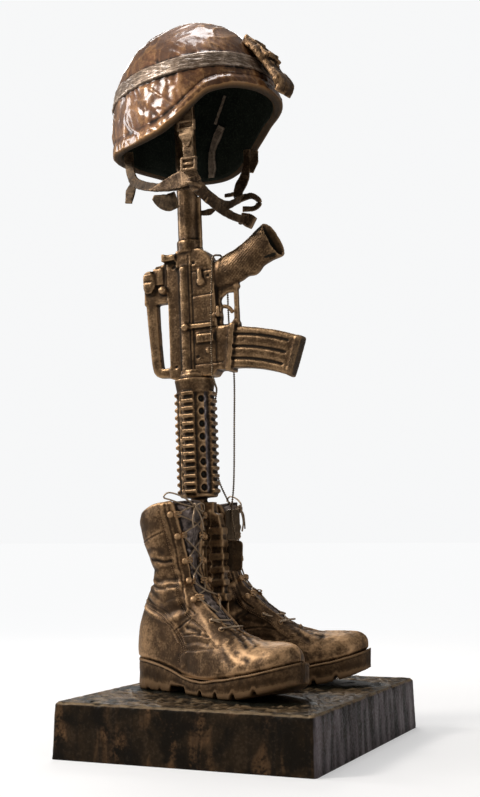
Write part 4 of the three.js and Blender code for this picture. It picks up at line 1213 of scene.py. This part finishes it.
def wire_ring(at, out, axis, long=4.2, tall=3.4, wire=0.9):
    across = unit(np.cross(out, axis))
    t = np.linspace(0, 2 * np.pi, 20)
    line = at + out * 1.6 + long * np.cos(t)[:, None] * across + tall * np.sin(t)[:, None] * axis
    return sweep(line, oval(2 * wire, 2 * wire, 6))


def stitch_row(upper, line, side, spacing=3.1, shift=0.0):
    track = on_side(line, side, spacing)
    points, out = seat(upper, track, 0.15)
    along = unit(np.gradient(points, axis=0))
    shells = []
    for p, n, a in zip(points, out, along):
        b = np.cross(n, a)
        p = p + b * shift
        tip = np.array([p - a * 1.15, p + b * 0.45, p + a * 1.15, p - b * 0.45, p + n * 0.55])
        shells.append(outward(tip, np.array([[0, 1, 4], [1, 2, 4], [2, 3, 4], [3, 0, 4], [0, 2, 1], [0, 3, 2]])))
    return shells


print("hooks on each side:", len(HOOKS))

# %% [markdown]
# ## Lacing one boot
# Each side of a lace goes from ring to ring, crosses over the tongue between them and ends
# in a small bow at the collar. The points come from the leather itself, so the laces stay
# on it wherever a crease has moved it. They are cast metal, so nothing is simulated.

# %% Lacing one boot
def lace_parts(upper):
    metal, thread = [], []
    for side in (1, -1):
        for (v, h) in HOOKS:
            at, out = seat(upper, (0, side * v, h), front=True)
            metal.append(ball_hook(at[0], out[0]))
        for (v, h) in RINGS:
            at, out = seat(upper, (0, side * v, h), front=True)
            for up in (1.6, -1.9):
                metal.append(wire_ring(at[0] + out[0] * 2.0 + (0, 0, up * 1.25), out[0], np.array([0, 0, 1.0]),
                                       6.6 if side > 0 else 4.6, 1.7, 1.15))
        for (v, h) in EYELETS:
            at, out = seat(upper, (0, side * v, h), front=True)
            metal.append(wire_ring(at[0] - out[0] * 1.2, out[0], unit(np.array([-0.6, 0, 0.8])), 3.6, 3.2, 1.1))
        for shift in (-1.7, 1.7):
            thread += stitch_row(upper, EYESTAY[:10], side, shift=shift - 2.5)
        for shift in (-4.8, 0.0, 4.8):
            thread += stitch_row(upper, COUNTER_TAPE[:7], side, shift=shift)
        thread += stitch_row(upper, VAMP[2:8], side, shift=2.2)
        thread += stitch_row(upper, COLLAR_SEAM[1:], side, shift=2.0)
    return metal, thread


def laces(upper, bow_side):
    at = RINGS + EYELETS
    cord = oval(2.9, 2.5, 8)
    lace = []
    for first in (1, -1):
        line = []
        for i, (v, h) in enumerate(at):
            side = first if i % 2 else -first
            p, n = seat(upper, (0, side * v, h), front=True)
            if i:
                middle, m = seat(upper, (0, 0, (h + at[i - 1][1]) / 2), front=True)
                line.append(middle[0] + m[0] * (4.2 + 1.2 * first) + (0, 0, 1.5 * math.sin(i * 2.3 + first)))
            line.append(p[0] + n[0] * 3.2)
        lace.append(sweep(curve(line, 1.6), cord))
    for v, h in EYELETS:
        (a, a_out), (b, b_out) = [seat(upper, (0, s * v, h), front=True) for s in (-1, 1)]
        middle, m = seat(upper, (0, 0, h), front=True)
        line = [a[0], a[0] + a_out[0] * 2.4, middle[0] + m[0] * 3.4 + (2, 0, 1), b[0] + b_out[0] * 2.4, b[0]]
        lace.append(sweep(curve(line, 1.6), cord))
    knot, n = seat(upper, (0, 5 * bow_side, 264), front=True)
    knot, n = knot[0] + n[0] * 5.0, n[0]
    start = [seat(upper, (0, s * RINGS[0][0], RINGS[0][1]), front=True) for s in (-1, 1)]
    lace.append(sweep(curve([start[0][0][0], knot + (0, 0, 1), start[1][0][0]], 1.6), cord))
    t = np.linspace(0, 2 * np.pi, 15)
    lace.append(sweep(knot + np.stack([2.4 * np.cos(t), 0 * t, 4.2 * np.sin(t)], 1), oval(3.4, 3.4, 8)))
    out = -bow_side
    loops = [
        [(0, 0, 0), (-1, 10, 8), (-11, 22, 17), (-24, 32, 21), (-30, 36, 14), (-21, 30, 10), (-7, 15, 3),
         (0, 0, 0)],
        [(0, 0, 0), (2, -9, 5), (0, -19, 3), (-3, -22, -6), (2, -12, -6), (0, 0, 0)],
        [(0, 0, 0), (4, 5, -8), (5, 9, -20), (6, 8, -32)],
        [(0, 0, 0), (4, -5, -9), (7, -9, -22), (6, -14, -36)],
    ]
    return lace + [sweep(curve(knot + np.array(line) * (1, out, 1), 1.6), cord) for line in loops]


for node, place_at, mirrored, upper, dark_at, polish_and_light_at, parts in (
        ("right_boot", RIGHT_BOOT, False, right_upper, right_dark, right_polish_and_light, right_parts),
        ("left_boot", LEFT_BOOT, True, left_upper, left_dark, left_polish_and_light, left_parts)):
    metal, thread = lace_parts(upper)
    joined = together(metal + thread)
    extra = np.zeros(len(joined[0]))
    cast(node + "_upper", node, [BOOT, TONGUE, LINING], [upper, joined], place_at,
         dark=np.r_[dark_at, extra], polish_and_painted_light=np.r_[polish_and_light_at, extra + 0.6], mirror=mirrored,
         finish=np.r_[parts, extra])
    cast(node + "_laces", node, LACE, laces(upper, 1), place_at, mirror=mirrored)

# %% [markdown]
# ## Rifle
# The rifle is one rough casting. Its parts are built as overlapping solids and fused by a
# voxel remesh, which rounds every join as wax does. Then grooves, holes, panel lines and
# the uneven skin are pressed in. Booleans would keep the joins razor sharp and fail on slivers.

# %% Upper half of the rifle
MAG = {"root": 58, "end": 169, "middle": 523, "droop": 22, "turn": 18}


def in_magazine(s, across, out):
    tilt = math.radians(MAG["turn"] * s)
    return (MAG["root"] + (MAG["end"] - MAG["root"]) * s + across * math.sin(tilt), out,
            MAG["middle"] - MAG["droop"] * s * s + across * math.cos(tilt))


def magazine_parts():
    section = [(-1, -0.72), (-0.93, -0.95), (-0.84, -1), (0.84, -1), (0.93, -0.95), (1, -0.72),
               (1, 0.72), (0.93, 0.95), (0.84, 1), (-0.84, 1), (-0.93, 0.95), (-1, 0.72)]
    rings = []
    for s in np.linspace(-0.2, 1, 22):
        tall = 33 - 1.5 * max(s, 0)
        rings.append([in_magazine(s, z * tall, y * 11.5) for z, y in section])
    lip = [[in_magazine(s, z * tall, y * 12.4) for z, y in section]
           for s, tall in ((1.0, 31), (1.01, 32.3), (1.075, 33.0), (1.085, 32))]
    return [skin(rings), skin(lip)]


def grip_parts():
    root, end = np.array([46, 0, 640.0]), np.array([144, 0, 687.0])
    along = unit(end - root)
    up_grip = np.array([-along[2], 0, along[0]])
    rows = np.array([(-0.12, 20, 13, 2), (0, 23, 13, 0), (0.12, 25.2, 13.8, -1.5), (0.3, 26.5, 14.5, -3),
                     (0.42, 25.6, 14.5, -3.2), (0.53, 28.6, 14.6, -5.2), (0.6, 28.2, 14.6, -4.6),
                     (0.7, 26.6, 14.5, -1.2), (0.84, 28.5, 15, 0), (1, 32, 16, 0)])
    rings = []
    ring = oval(2, 2, 36, 2.3)
    for s in np.linspace(-0.12, 1, 30):
        tall, half, shift = (np.interp(s, rows[:, 0], rows[:, i]) for i in (1, 2, 3))
        middle = root + (end - root) * s + up_grip * shift
        rings.append(middle + ring[:, :1] * tall * up_grip + ring[:, 1:] * half * np.array([0, 1, 0]))
    for tall, half, push in ((31.6, 15.6, 1.0), (30, 14, 1.6), (28, 12.4, 0.8), (27, 11.5, -3), (25, 10, -14)):
        slant = (ring[:, 1:] * half * 0.42 + push) * along
        rings.append(end + slant + ring[:, :1] * tall * up_grip + ring[:, 1:] * half * np.array([0, 1, 0]))
    return [skin(rings)]


def receiver_parts():
    lower = [(2, 480), (38, 480), (46, 489), (65, 487), (73, 558), (48, 558), (45, 640), (44, 660), (38, 674),
             (2, 680)]
    bar_across = [(0, 0, 1.0)] * 5
    bar = curve([(-40, 0, 493), (-58, 0, 493.5), (-63, 0, 505), (-67.5, 0, 560), (-70.5, 0, 628)], 4)
    bar_wide = np.stack([np.linspace(15, 20.5, len(bar)), np.ones(len(bar))], 1)
    bar_across = np.array(bar_across + [(1.0, 0, 0)] * (len(bar) - 5))
    return [
        rod((0, 0, 478), (0, 0, 686), 16), plate([(-38, 482), (-15, 474), (6, 474), (6, 684), (-38, 676)], 22),
        plate(lower, 30), plate([(61, 485), (69, 485), (79, 561), (71, 561)], 33.4),
        box(2, 6.5, -16.6, 16.6, 484, 680),
        rod((-6, -12.5, 486), (-6, -12.5, 660), 8.6), box(-14, 3, 13, 18.2, 520, 600),
        plate([(-20, 660), (41, 658), (40, 668), (34, 680), (24, 687), (-20, 687)], 32),
        rod((-1, 0, 684), (-1, 0, 703), 20.2), box(-43, -20, -21, 21, 672, 682),
        box(-43, -36, -22, 22, 671, 684),
        sweep(bar, oval(1, 18, 20, 5), bar_across, bar_wide),
        plate([(-36, 484), (-60, 486), (-64, 500), (-38, 500)], 17),
        plate([(-82, 606), (-80, 644), (-60, 650), (-60, 668), (-34, 672), (-34, 606)], 18),
        plate([(-79, 630), (-80, 652), (-75, 660), (-65, 661), (-60, 654), (-59, 632), (-65, 624),
               (-75, 624)], 31),
        plate([(-77, 645), (-77, 655), (-63, 656), (-62, 645)], 35),
        plate([(-76, 629), (-77, 641), (-62, 641), (-63, 629)], 35),
        rod((-44, -20, 626), (-44, 12, 626), 6.2), rod((-44, -21.6, 626), (-44, -18, 626), 3.4),
        box(-62, -46, -12.6, 12.6, 637, 664), box(-58, -50, -13.4, 13.4, 641, 660),
        rod((24, -19.6, 632), (24, 18, 632), 6.4),
        plate([(20, 628), (28, 628), (25, 654), (19, 652)], 4.4, -17.6),
        rod((-4, -25.5, 560), (-4, 0, 560), 5.8), box(-4, 41, -19.4, -12, 558, 565),
        box(13, 42, -19.2, -12, 534, 548),
        rod((52, -18, 576), (52, 0, 576), 3.4), rod((52, -17.5, 572), (52, -17.5, 590), 2.6),
        rod((34, 0, 602), (34, 19.5, 602), 5), rod((32, -17.3, 520), (32, 0, 520), 3.0),
        plate([(43, 554), (52, 554), (53, 575), (51, 600), (54, 620), (43, 624)], 12),
        box(44, 80, -4.5, 4.5, 612, 625),
        box(44, 80, -4.5, 4.5, 553, 562), plate([(74, 560), (82, 564), (81.5, 622), (75, 620)], 9.5),
        plate([(52, 604), (52, 614), (66, 614)], 9), plate([(66, 560), (76, 560), (76, 572)], 9),
        rod((79, -7, 560), (79, 7, 560), 4.6), rod((80, -6, 621), (80, 6, 621), 4.4),
        sweep(curve([(44, 0, 590), (55, 0, 591), (64, 0, 588), (71, 0, 579)], 3), oval(6, 7, 12)),
        box(12, 22, -4.3, 4.3, 690, 775), rod((-1.5, 0, 690), (-1.5, 0, 790), 17.2, sides=40),
        rod((-1.5, 0, 790), (-1.5, 0, 1036), 17.2, sides=40),
        rod((-1.5, 0, 1036), (-1.5, 0, 1043.6), 17.2, 13.5, sides=40),
        *magazine_parts(), *grip_parts(),
    ]


upper_points, upper_tris = fused(receiver_parts(), 1.55, 2)
print("upper half:", len(upper_tris), "triangles")

# %% [markdown]
# ## Pressing the rifle's relief
# The magazine has ribs along it, the grip is chequered, pins and panel lines show on the
# receiver, and the whole is pitted as a casting is. Each is a change along the normal, read
# from the distance to a line or to a point.

# %% Receiver, grip and magazine relief
def scratch(points, line, depth, width, limit=8):
    gap = gap_to(points, line, limit)
    return -depth * np.exp(-(gap / width) ** 2)


def dimple(points, at, axis, radius, depth, soft=1.2, reach=9):
    away = points - np.asarray(at, float)
    axis = unit(np.asarray(axis, float))
    deep = away @ axis
    flat = np.linalg.norm(away - deep[:, None] * axis, axis=1)
    return -depth * ease(radius + soft, radius - soft * 0.4, flat) * (np.abs(deep) < reach)


def ribs_of_magazine(points):
    x, y, z = points.T
    s = np.clip((x - MAG["root"]) / (MAG["end"] - MAG["root"]), 0, 1)
    for _ in range(3):
        across = (z - MAG["middle"] + MAG["droop"] * s * s) / np.cos(np.radians(MAG["turn"] * s))
        lean = across * np.sin(np.radians(MAG["turn"] * s))
        s = np.clip((x - lean - MAG["root"]) / (MAG["end"] - MAG["root"]), 0, 1)
    on_face = (np.abs(across) < 31) & (x > 68)
    rib = sum(np.exp(-((across - a) / 2.3) ** 2) for a in (-18, 1, 20))
    edge = sum(np.exp(-((across - a - b) / 1.6) ** 2) for a in (-18, 1, 20) for b in (-4.4, 4.4))
    run = ease(0.06, 0.11, s) * ease(0.95, 0.9, s)
    return on_face * run * (0.15 * edge - 2.2 * rib) * (np.abs(np.abs(y) - 11.5) < 4)


def upper_relief(points):
    x, y, z = points.T
    relief = ribs_of_magazine(points)
    in_grip = (x > 50) & (z > 622 + (x - 46) * 0.2)
    s = ((x - 46) * 98 + (z - 640) * 47) / (98 ** 2 + 47 ** 2)
    on_side_of_grip = in_grip & (np.abs(y) > 8) & (s > 0.12) & (s < 0.93)
    p, q = (x + z) * 0.62, (x - z) * 0.62
    check = np.maximum(np.abs(np.sin(p * 0.95)), np.abs(np.sin(q * 0.95))) ** 6
    relief += on_side_of_grip * (-0.42 * check + 0.1) * ease(0.12, 0.2, s) * ease(0.93, 0.86, s)
    for x0, top in ((-15, 660), (3, 676), (8, 660)):
        relief += scratch(points, curve([(x0, -16, 486), (x0, -16, top)], 1.5), 1.2, 1.6)
    for (x0, z0), (x1, z1) in ([(6, 559), (58, 557)], [(10, 500), (56, 500)], [(46, 500), (46, 556)],
                               [(8, 610), (44, 612)], [(8, 650), (42, 650)], [(-34, 484), (-34, 600)],
                               [(-34, 608), (-18, 656)]):
        for side in (-15.5, 15.5):
            relief += scratch(points, curve([(x0, side, z0), (x1, side, z1)], 1.5), 1.1, 1.5)
    for x0, z0, r in ((14, 512, 2.6), (36, 641, 2.4), (40, 580, 2.2), (12, 664, 2.6), (-26, 500, 2.4),
                      (-26, 662, 2.2)):
        relief += dimple(points, (x0, 0, z0), (0, 1, 0), r, 1.3, 1.0, 30)
    nut = (np.abs(z - 693) < 10) & (np.hypot(x + 1, y) > 18)
    relief += nut * 0.7 * np.maximum(lumps(points, 9, 90), -0.2)
    tube = (z > 704) & (x < 40)
    relief += tube * (0.25 * np.sin(x * 0.45) + 0.3 * rough(points * (1, 1, 0.3), 16, 91))
    relief += np.where(tube, 0, 0.36) * rough(points * (1, 1, 0.6), 22, 93, 2)
    relief += 0.12 * rough(points, 5.5, 95, 2)
    relief += np.minimum(lumps(points, 7, 97) + 0.6, 0) * 1.0 * ~tube
    return np.clip(relief, -2.6, 1.6)


out = normals(upper_points, upper_tris)
upper_rifle = (upper_points + out * upper_relief(upper_points)[:, None], upper_tris)
x, y, z = upper_points.T
along_grip = unit(np.array([98.0, 0, 47.0]))
past_rim = (upper_points - (144, 0, 687)) @ along_grip
grip_mouth = (np.hypot(x - 139, z - 684.6) < 27) & (np.abs(y) < 11.4) & (out @ along_grip > -0.2)
# Painted shade at the open end of the grip, where a hollow would be.
grip_mouth_shade = ease(-1, -6, past_rim) * grip_mouth
end_plate = 0.4 * (x - 169 - (z - 501) * 0.325 > 1.5) * (z < 565) * (x > 140)
cast("rifle_upper", "rifle", RIFLE, [upper_rifle], RIFLE_STAND,
     dark=np.maximum(grip_mouth_shade, end_plate), contrast=1.4)

# %% [markdown]
# ## Handguard, barrel and bayonet
# The handguard has a rail of teeth on four sides and a row of round holes between them.
# Below it the barrel goes down between the boots with its sight post and a bayonet. One
# strip of the handguard is violet, where the photo's patina turns cooler along its length.

# %% Lower half of the rifle
def handguard_parts():
    low, high, rail, count = 292, 458, 33, 14
    pitch = (high - low) / count
    parts = [rod((0, 0, low), (0, 0, high), 27, sides=40),
             rod((0, 0, low - 2), (0, 0, low + 3), 29.4, sides=40)]
    for turn in range(4):
        c, s = round(math.cos(turn * math.pi / 2)), round(math.sin(turn * math.pi / 2))
        bars = [box(16, rail - 4, -10, 10, low, high)]
        for k in range(count):
            z = low + k * pitch
            bars.append(plate([(rail - 6, z + pitch * 0.30), (rail, z + pitch * 0.36), (rail, z + pitch * 0.84),
                               (rail - 6, z + pitch * 0.90)], 21))
        for points, tris in bars:
            parts.append((np.stack([points[:, 0] * c - points[:, 1] * s, points[:, 0] * s + points[:, 1] * c,
                                    points[:, 2]], 1), tris))
    return parts


def barrel_parts():
    blade = [(24, 20), (34, 0.3), (44, 26), (44, 130), (20, 130)]
    return [
        rod((0, 0, 456), (0, 0, 478), 29, 32.6, sides=40), rod((0, 0, 476), (0, 0, 486), 24, sides=40),
        rod((0, 0, 470), (0, 0, 492), 22, sides=40),
        rod((0, 0, 136), (0, 0, 302), 9, sides=32), rod((0, 0, 96), (0, 0, 140), 11, sides=32),
        rod((0, 0, 270), (0, 0, 296), 13, sides=32), rod((0, 0, 246), (0, 0, 252), 11.5, sides=32),
        rod((0, 0, 214), (0, 0, 222), 11.5, sides=32),
        plate([(-8, 212), (-8, 268), (-34, 262), (-58, 240), (-58, 232), (-28, 226)], 7),
        rod((-52, 0, 236), (-40, 0, 238), 3.6), box(5, 27, -8, 8, 264, 282),
        plate([(20, 136), (40, 136), (41, 236), (36, 262), (20, 268)], 18),
        *[box(18, 43, -11, 11, z, z + 9.4) for z in (152, 172, 192, 212, 232)], box(-14, 45, -11, 11, 128, 140),
        box(-12, 43, -12, 12, 131, 137), plate(blade, 5),
        plate([(27, 22), (31, 18), (31, 128), (27, 128)], 6.2),
    ]


lower_points, lower_tris = fused(handguard_parts() + barrel_parts(), 1.5, 2)
out = normals(lower_points, lower_tris)
x, y, z = lower_points.T
relief = 0.30 * rough(lower_points, 16, 101, 2) + 0.14 * rough(lower_points, 5, 103, 2)
relief += np.minimum(lumps(lower_points, 6, 105) + 0.6, 0) * 0.9
# Painted shade in the handguard's round holes.
hole_shade = 0 * z
for turn in (1, 3, 5, 7):
    d = np.array([math.cos(turn * math.pi / 4), math.sin(turn * math.pi / 4), 0])
    sideways = lower_points @ np.array([-d[1], d[0], 0])
    relief -= 0.3 * ((lower_points @ d > 20) & (np.abs(sideways) < 12) & (z > 296) & (z < 452))
    for k in range(8):
        hole = (d[0] * 26, d[1] * 26, 305 + k * 20)
        relief += dimple(lower_points, hole, d, 4.6, 3.8, 1.2, 9)
        hole_shade = hole_shade - dimple(lower_points, hole, d, 3.2, 0.75, 1.2, 8)
lower_rifle = (lower_points + out * np.clip(relief, -5, 1.2)[:, None], lower_tris)
facing = np.degrees(np.arctan2(y, x))
strip = (z > 294) & (z < 456) & (facing > -36) & (facing < -20) & (np.hypot(x, y) < 29.5)
# Painted light: the barrel and bayonet below the handguard, in the shade between the boots, are brightened.
cast("rifle_lower", "rifle", [RIFLE, VIOLET], [lower_rifle], RIFLE_STAND,
     dark=hole_shade, finish=strip, polish_and_painted_light=0.3 * (z < 290), contrast=1.4)

# %% [markdown]
# ## Chin strap
# The helmet's webbing hangs free: one strap down each side with its buckles, a loop that
# crosses in front, a longer one to the nape, and loose ends. Each is a ribbon swept along a
# curve and pressed with the ribs of woven webbing. It is cast metal, so it isn't simulated.

# %% Webbing
WEBBING_SIDES = 34


def webbing(line, wide, thick=3.4, across=(1, 0, 0), seed=1, ribs=True):
    track = curve(line, 1.25)
    t = np.linspace(0, 1, len(track))
    width = np.interp(t, np.linspace(0, 1, len(np.atleast_1d(wide))), np.atleast_1d(wide))
    across = np.asarray(across, float)
    if across.ndim == 2:
        across = np.stack([np.interp(t, np.linspace(0, 1, len(across)), across[:, i]) for i in range(3)], 1)
    edge = oval(1, 1, WEBBING_SIDES, 7)
    points, tris = sweep(track, edge, across, np.stack([width, np.full_like(width, thick)], 1))
    k = np.minimum(np.arange(len(points)) // WEBBING_SIDES, len(track) - 1)
    press = (np.where(k % 2 == 0, 0.22, -0.22) if ribs else 0.0) + 0.45 * rough(points, 11, seed)
    press = press + 0.25 * lumps(points, 4, seed + 3)
    return points + normals(points, tris) * press[:, None], tris


def buckle(at, axes, wide, high, bar=4.2, thick=5.0, slots=1, seed=3):
    a, b, c = np.asarray(axes, float)
    lines = []
    for s in (-1, 1):
        lines.append([(s * wide / 2, -high / 2), (s * wide / 2, high / 2)])
    for k in range(slots + 2):
        h = -high / 2 + high * k / (slots + 1)
        lines.append([(-wide / 2, h), (wide / 2, h)])
    parts = []
    for (x0, y0), (x1, y1) in lines:
        p0, p1 = at + a * x0 + b * y0, at + a * x1 + b * y1
        parts.append(sweep(np.array([p0 - unit(p1 - p0) * bar / 2, p1 + unit(p1 - p0) * bar / 2]),
                           oval(bar, thick, 12, 4), np.cross(c, p1 - p0)))
    points, tris = fused(parts, 0.9, 2)
    return points + normals(points, tris) * (0.25 * rough(points, 5, seed))[:, None], tris


X, Y, Z = np.eye(3)
near = [(-57, -98, 966), (-55, -98, 944), (-54, -98.5, 925), (-53, -98.5, 906), (-51, -97, 885),
        (-50, -94, 866), (-46, -88, 850)]
near_end = [(-54, -101.5, 931), (-53.5, -102.5, 919), (-53, -101.5, 909), (-52.5, -100.5, 903)]
to_front = [(-47, -88, 849), (-42, -45, 836), (-37, 5, 834), (-30, 56, 857)]
lower_run = [(-44, -50, 834), (-38, -8, 825), (-28, 30, 820), (-20, 56, 821)]
rear = [(-50, -84, 848), (-92, -78, 850), (-128, -68, 856), (-170, -50, 874), (-186, -38, 905),
        (-192, -32, 930)]
flap = [(-52, -94, 858), (-68, -93.5, 855), (-88, -92, 851), (-106, -91, 847), (-123, -90, 845)]
far = [(-37, 98, 952), (-37, 96, 925), (-40, 94, 905), (-45, 91, 892), (-48, 87, 878), (-44, 78, 867),
       (-30, 58, 858)]
straps = [
    webbing(near, [23, 22, 18, 17, 17, 19, 23], across=X, seed=111),
    webbing(near_end, [25, 25, 17, 4], 3.2, X, 112),
    webbing(to_front, [20, 19, 18, 16], across=(0.6, 0, 0.8), seed=113),
    webbing(lower_run, [12, 14, 13, 13], across=(0.3, 0, 1), seed=114),
    webbing(rear, [16, 15, 14, 15, 15, 16], across=(0, 0.3, 1), seed=115),
    webbing([(-36, 57, 857), (-14, 61, 861.5), (-2, 66, 852), (-9, 62, 841), (-28, 57, 840)], [13, 11, 9, 9, 9],
            across=(0, 0.25, 1), seed=116),
    webbing([(-170, -50, 878), (-175, -54, 858), (-178, -56, 838)], [9, 17, 12], across=X, seed=117),
    webbing(flap, [26, 27, 20, 12, 2], 2.2, (0.25, 0, 1), 118),
    webbing([(-22, 96, 948), (-24, 96, 930), (-28, 95, 911)], [12, 16, 7], across=X, seed=119),
    webbing(far, [12, 11, 15, 24, 19, 13, 12], across=(0.9, 0, 0.45), seed=120),
    webbing([(-48, 88, 877), (-62, 92, 877), (-76, 94, 877)], [8, 7, 6], across=Z, seed=122),
    webbing([(-31, 57, 827), (-19, 57, 821), (-8, 56, 814)], [15, 22, 20], 6.5, (0.35, 0, 1), 123),
    webbing([(-63, 30, 838), (-74, 24, 832), (-86, 20, 831)], [2, 11, 7], 2.4, (0.3, 0, 1), 124),
]
cup = webbing([(-126, -71, 838), (-114, -69, 832), (-102, -67, 829), (-88, -65, 833)], [8, 22, 28, 26],
              5.0, (0.1, 0, 1), 121, ribs=False)
buckles = [
    buckle(np.array([-55, -100.5, 937.0]), (X, Z, Y), 26, 12, 4.4, 6.5, 0, seed=131),
    buckle(np.array([-51, -99.5, 876.0]), (X, Z, Y), 22, 17, 4.6, 6.5, seed=132),
    buckle(np.array([-25, 57, 823.0]), (X, Z, Y), 16, 12, 4, 8, seed=134),
]
over_knot = sweep(curve([(-60, -90, 851), (-47, -94, 846), (-36, -86, 842)], 3), oval(10, 7, 12))
knuckle = fused([rod((-50, -91, 857), (-45, -87, 836), 7.5, 5.5), over_knot], 1.1, 2)
straps.append(cup)
strap_shells = straps + buckles + [knuckle]
x, y, z = together(strap_shells)[0].T
# Painted shade: the straps under the back of the helmet are darkened.
cast("chin_strap_webbing", "chin_strap", STRAP, strap_shells, contrast=1.3,
     polish_and_painted_light=0.3 * (z > 865) * (y < -80), dark=0.4 * (y > -86) * (x < -72) * (z < 910))

# %% [markdown]
# ## Pads inside the helmet
# A padded strip hangs down the far inner wall, with a thin tape above it. Their routes are
# given as bearings round the helmet, in degrees, and heights on its wall, and come out of the
# wall's own formula. They lie half sunk in it, so no gap shows behind.

# %% Pads inside the helmet
def on_inner_wall(rows):
    bearing, height = np.array(rows, float).T
    return turned((on_helmet(np.radians(bearing), height, inset=WALL), None), HELMET_STAND)[0]


PAD_LINE = on_inner_wall([(97, 59), (100, 51), (103.5, 39), (107, 24), (108.5, 9), (109, -6.5), (110.5, -23)])
TAPE_LINE = on_inner_wall([(87.5, 105), (95.5, 87), (102, 67)])
inner_parts = [webbing(PAD_LINE, [12, 15, 12, 10, 12, 13, 9], 9.0, X, 151),
               webbing(TAPE_LINE, [4.6, 4.2, 4.0], 5.0, X, 152)]
cast("helmet_pads", "helmet", PADDING, inner_parts, polish_and_painted_light=0.4)

# %% [markdown]
# ## Bead chain and tags
# The chain is of small round beads joined by short pins. It loops over the grip end of the
# rifle and carries two blank tags. Beads are real geometry here, one ball every three and a
# half millimetres along the strand, because a bumpy rod would lose its pins at the outline.

# %% Chain
CHAIN_TOP, CHAIN_KNOT = (-48.6, 11.5, 756), (-38, 31, 353)
STRANDS = [
    [CHAIN_TOP, (-51, -7, 751), (-52.7, -10, 735), (-54.5, -10, 640), (-53, -10, 578), (-53.5, -8, 562), (-56, 8, 549),
     (-58.5, 20, 541), (-64, 28, 527), (-68, 31, 500), (-67, 32, 450), (-61, 32, 400), CHAIN_KNOT],
    [CHAIN_TOP, (-47, 29, 751), (-45.5, 32, 735), (-42, 32, 647), (-33.6, 32, 568), (-33, 31, 480), (-34, 31, 397),
     CHAIN_KNOT],
    [CHAIN_KNOT, (-37, 31, 336), (-34, 31, 320), (-31, 30.4, 303.4)],
]


def ball(at, radius, rows=6, around=9):
    t = np.linspace(0.12, np.pi - 0.12, rows)[:, None]
    a = np.arange(around) * 2 * np.pi / around
    unit_ball = np.stack([np.sin(t) * np.cos(a), np.sin(t) * np.sin(a), np.cos(t) + 0 * a], -1)
    return skin(unit_ball * radius + at)


beads = []
for strand in STRANDS:
    track = curve(strand, 3.5)
    beads += [ball(p, 1.75) for p in track]
    beads.append(sweep(track, oval(1.5, 1.5, 5)))
cast("bead_chain", "tag_chain", CHAIN, beads)


def tag(seed):
    outline = rounded_rectangle(14.5, 24, 7, 1.1) - (0, 24)
    rings = []
    for out, inset in ((-0.55, 2.6), (-0.6, 1.7), (-1.1, 1.0), (-1.1, 0.3), (-0.6, 0), (0.6, 0), (1.1, 0.3),
                       (1.1, 1.0), (0.6, 1.7), (0.55, 2.6)):
        flat = (outline + (0, 24)) * (1 - inset / np.array([14.5, 24])) - (0, 24)
        rings.append(np.column_stack([flat[:, 0], np.full(len(flat), out), flat[:, 1]]))
    for inset in (6, 10, 13.5):
        flat = (outline + (0, 24)) * (1 - inset / np.array([14.5, 24])) - (0, 24)
        rings.append(np.column_stack([flat[:, 0], np.full(len(flat), 0.55), flat[:, 1]]))
        rings.insert(0, np.column_stack([flat[:, 0], np.full(len(flat), -0.55), flat[:, 1]]))
    points, tris = skin(rings)
    bend = 0.35 * lumps(points * (1, 0, 1), 16, seed)
    eye = np.hypot(points[:, 0], points[:, 2] + 5)
    points = points + np.array([0, 1, 0]) * (bend - np.sign(points[:, 1]) * 0.3 * ease(3.2, 2.0, eye))[:, None]
    return points, tris


for node, place_at, seed in (("dog_tag_front", stand((-31, 28, 302.6), -8, 2), 141),
                             ("dog_tag_back", stand((-39, 35.5, 351.4), 62, -2), 147)):
    cast(node + "_plate", node, TAG, [tag(seed)], place_at, sharp=50)

# %% [markdown]
# ## The count
# The pieces and their triangles are counted and printed.


print("pieces:", len(PIECES), "triangles:", sum(count for _, count in PIECES))
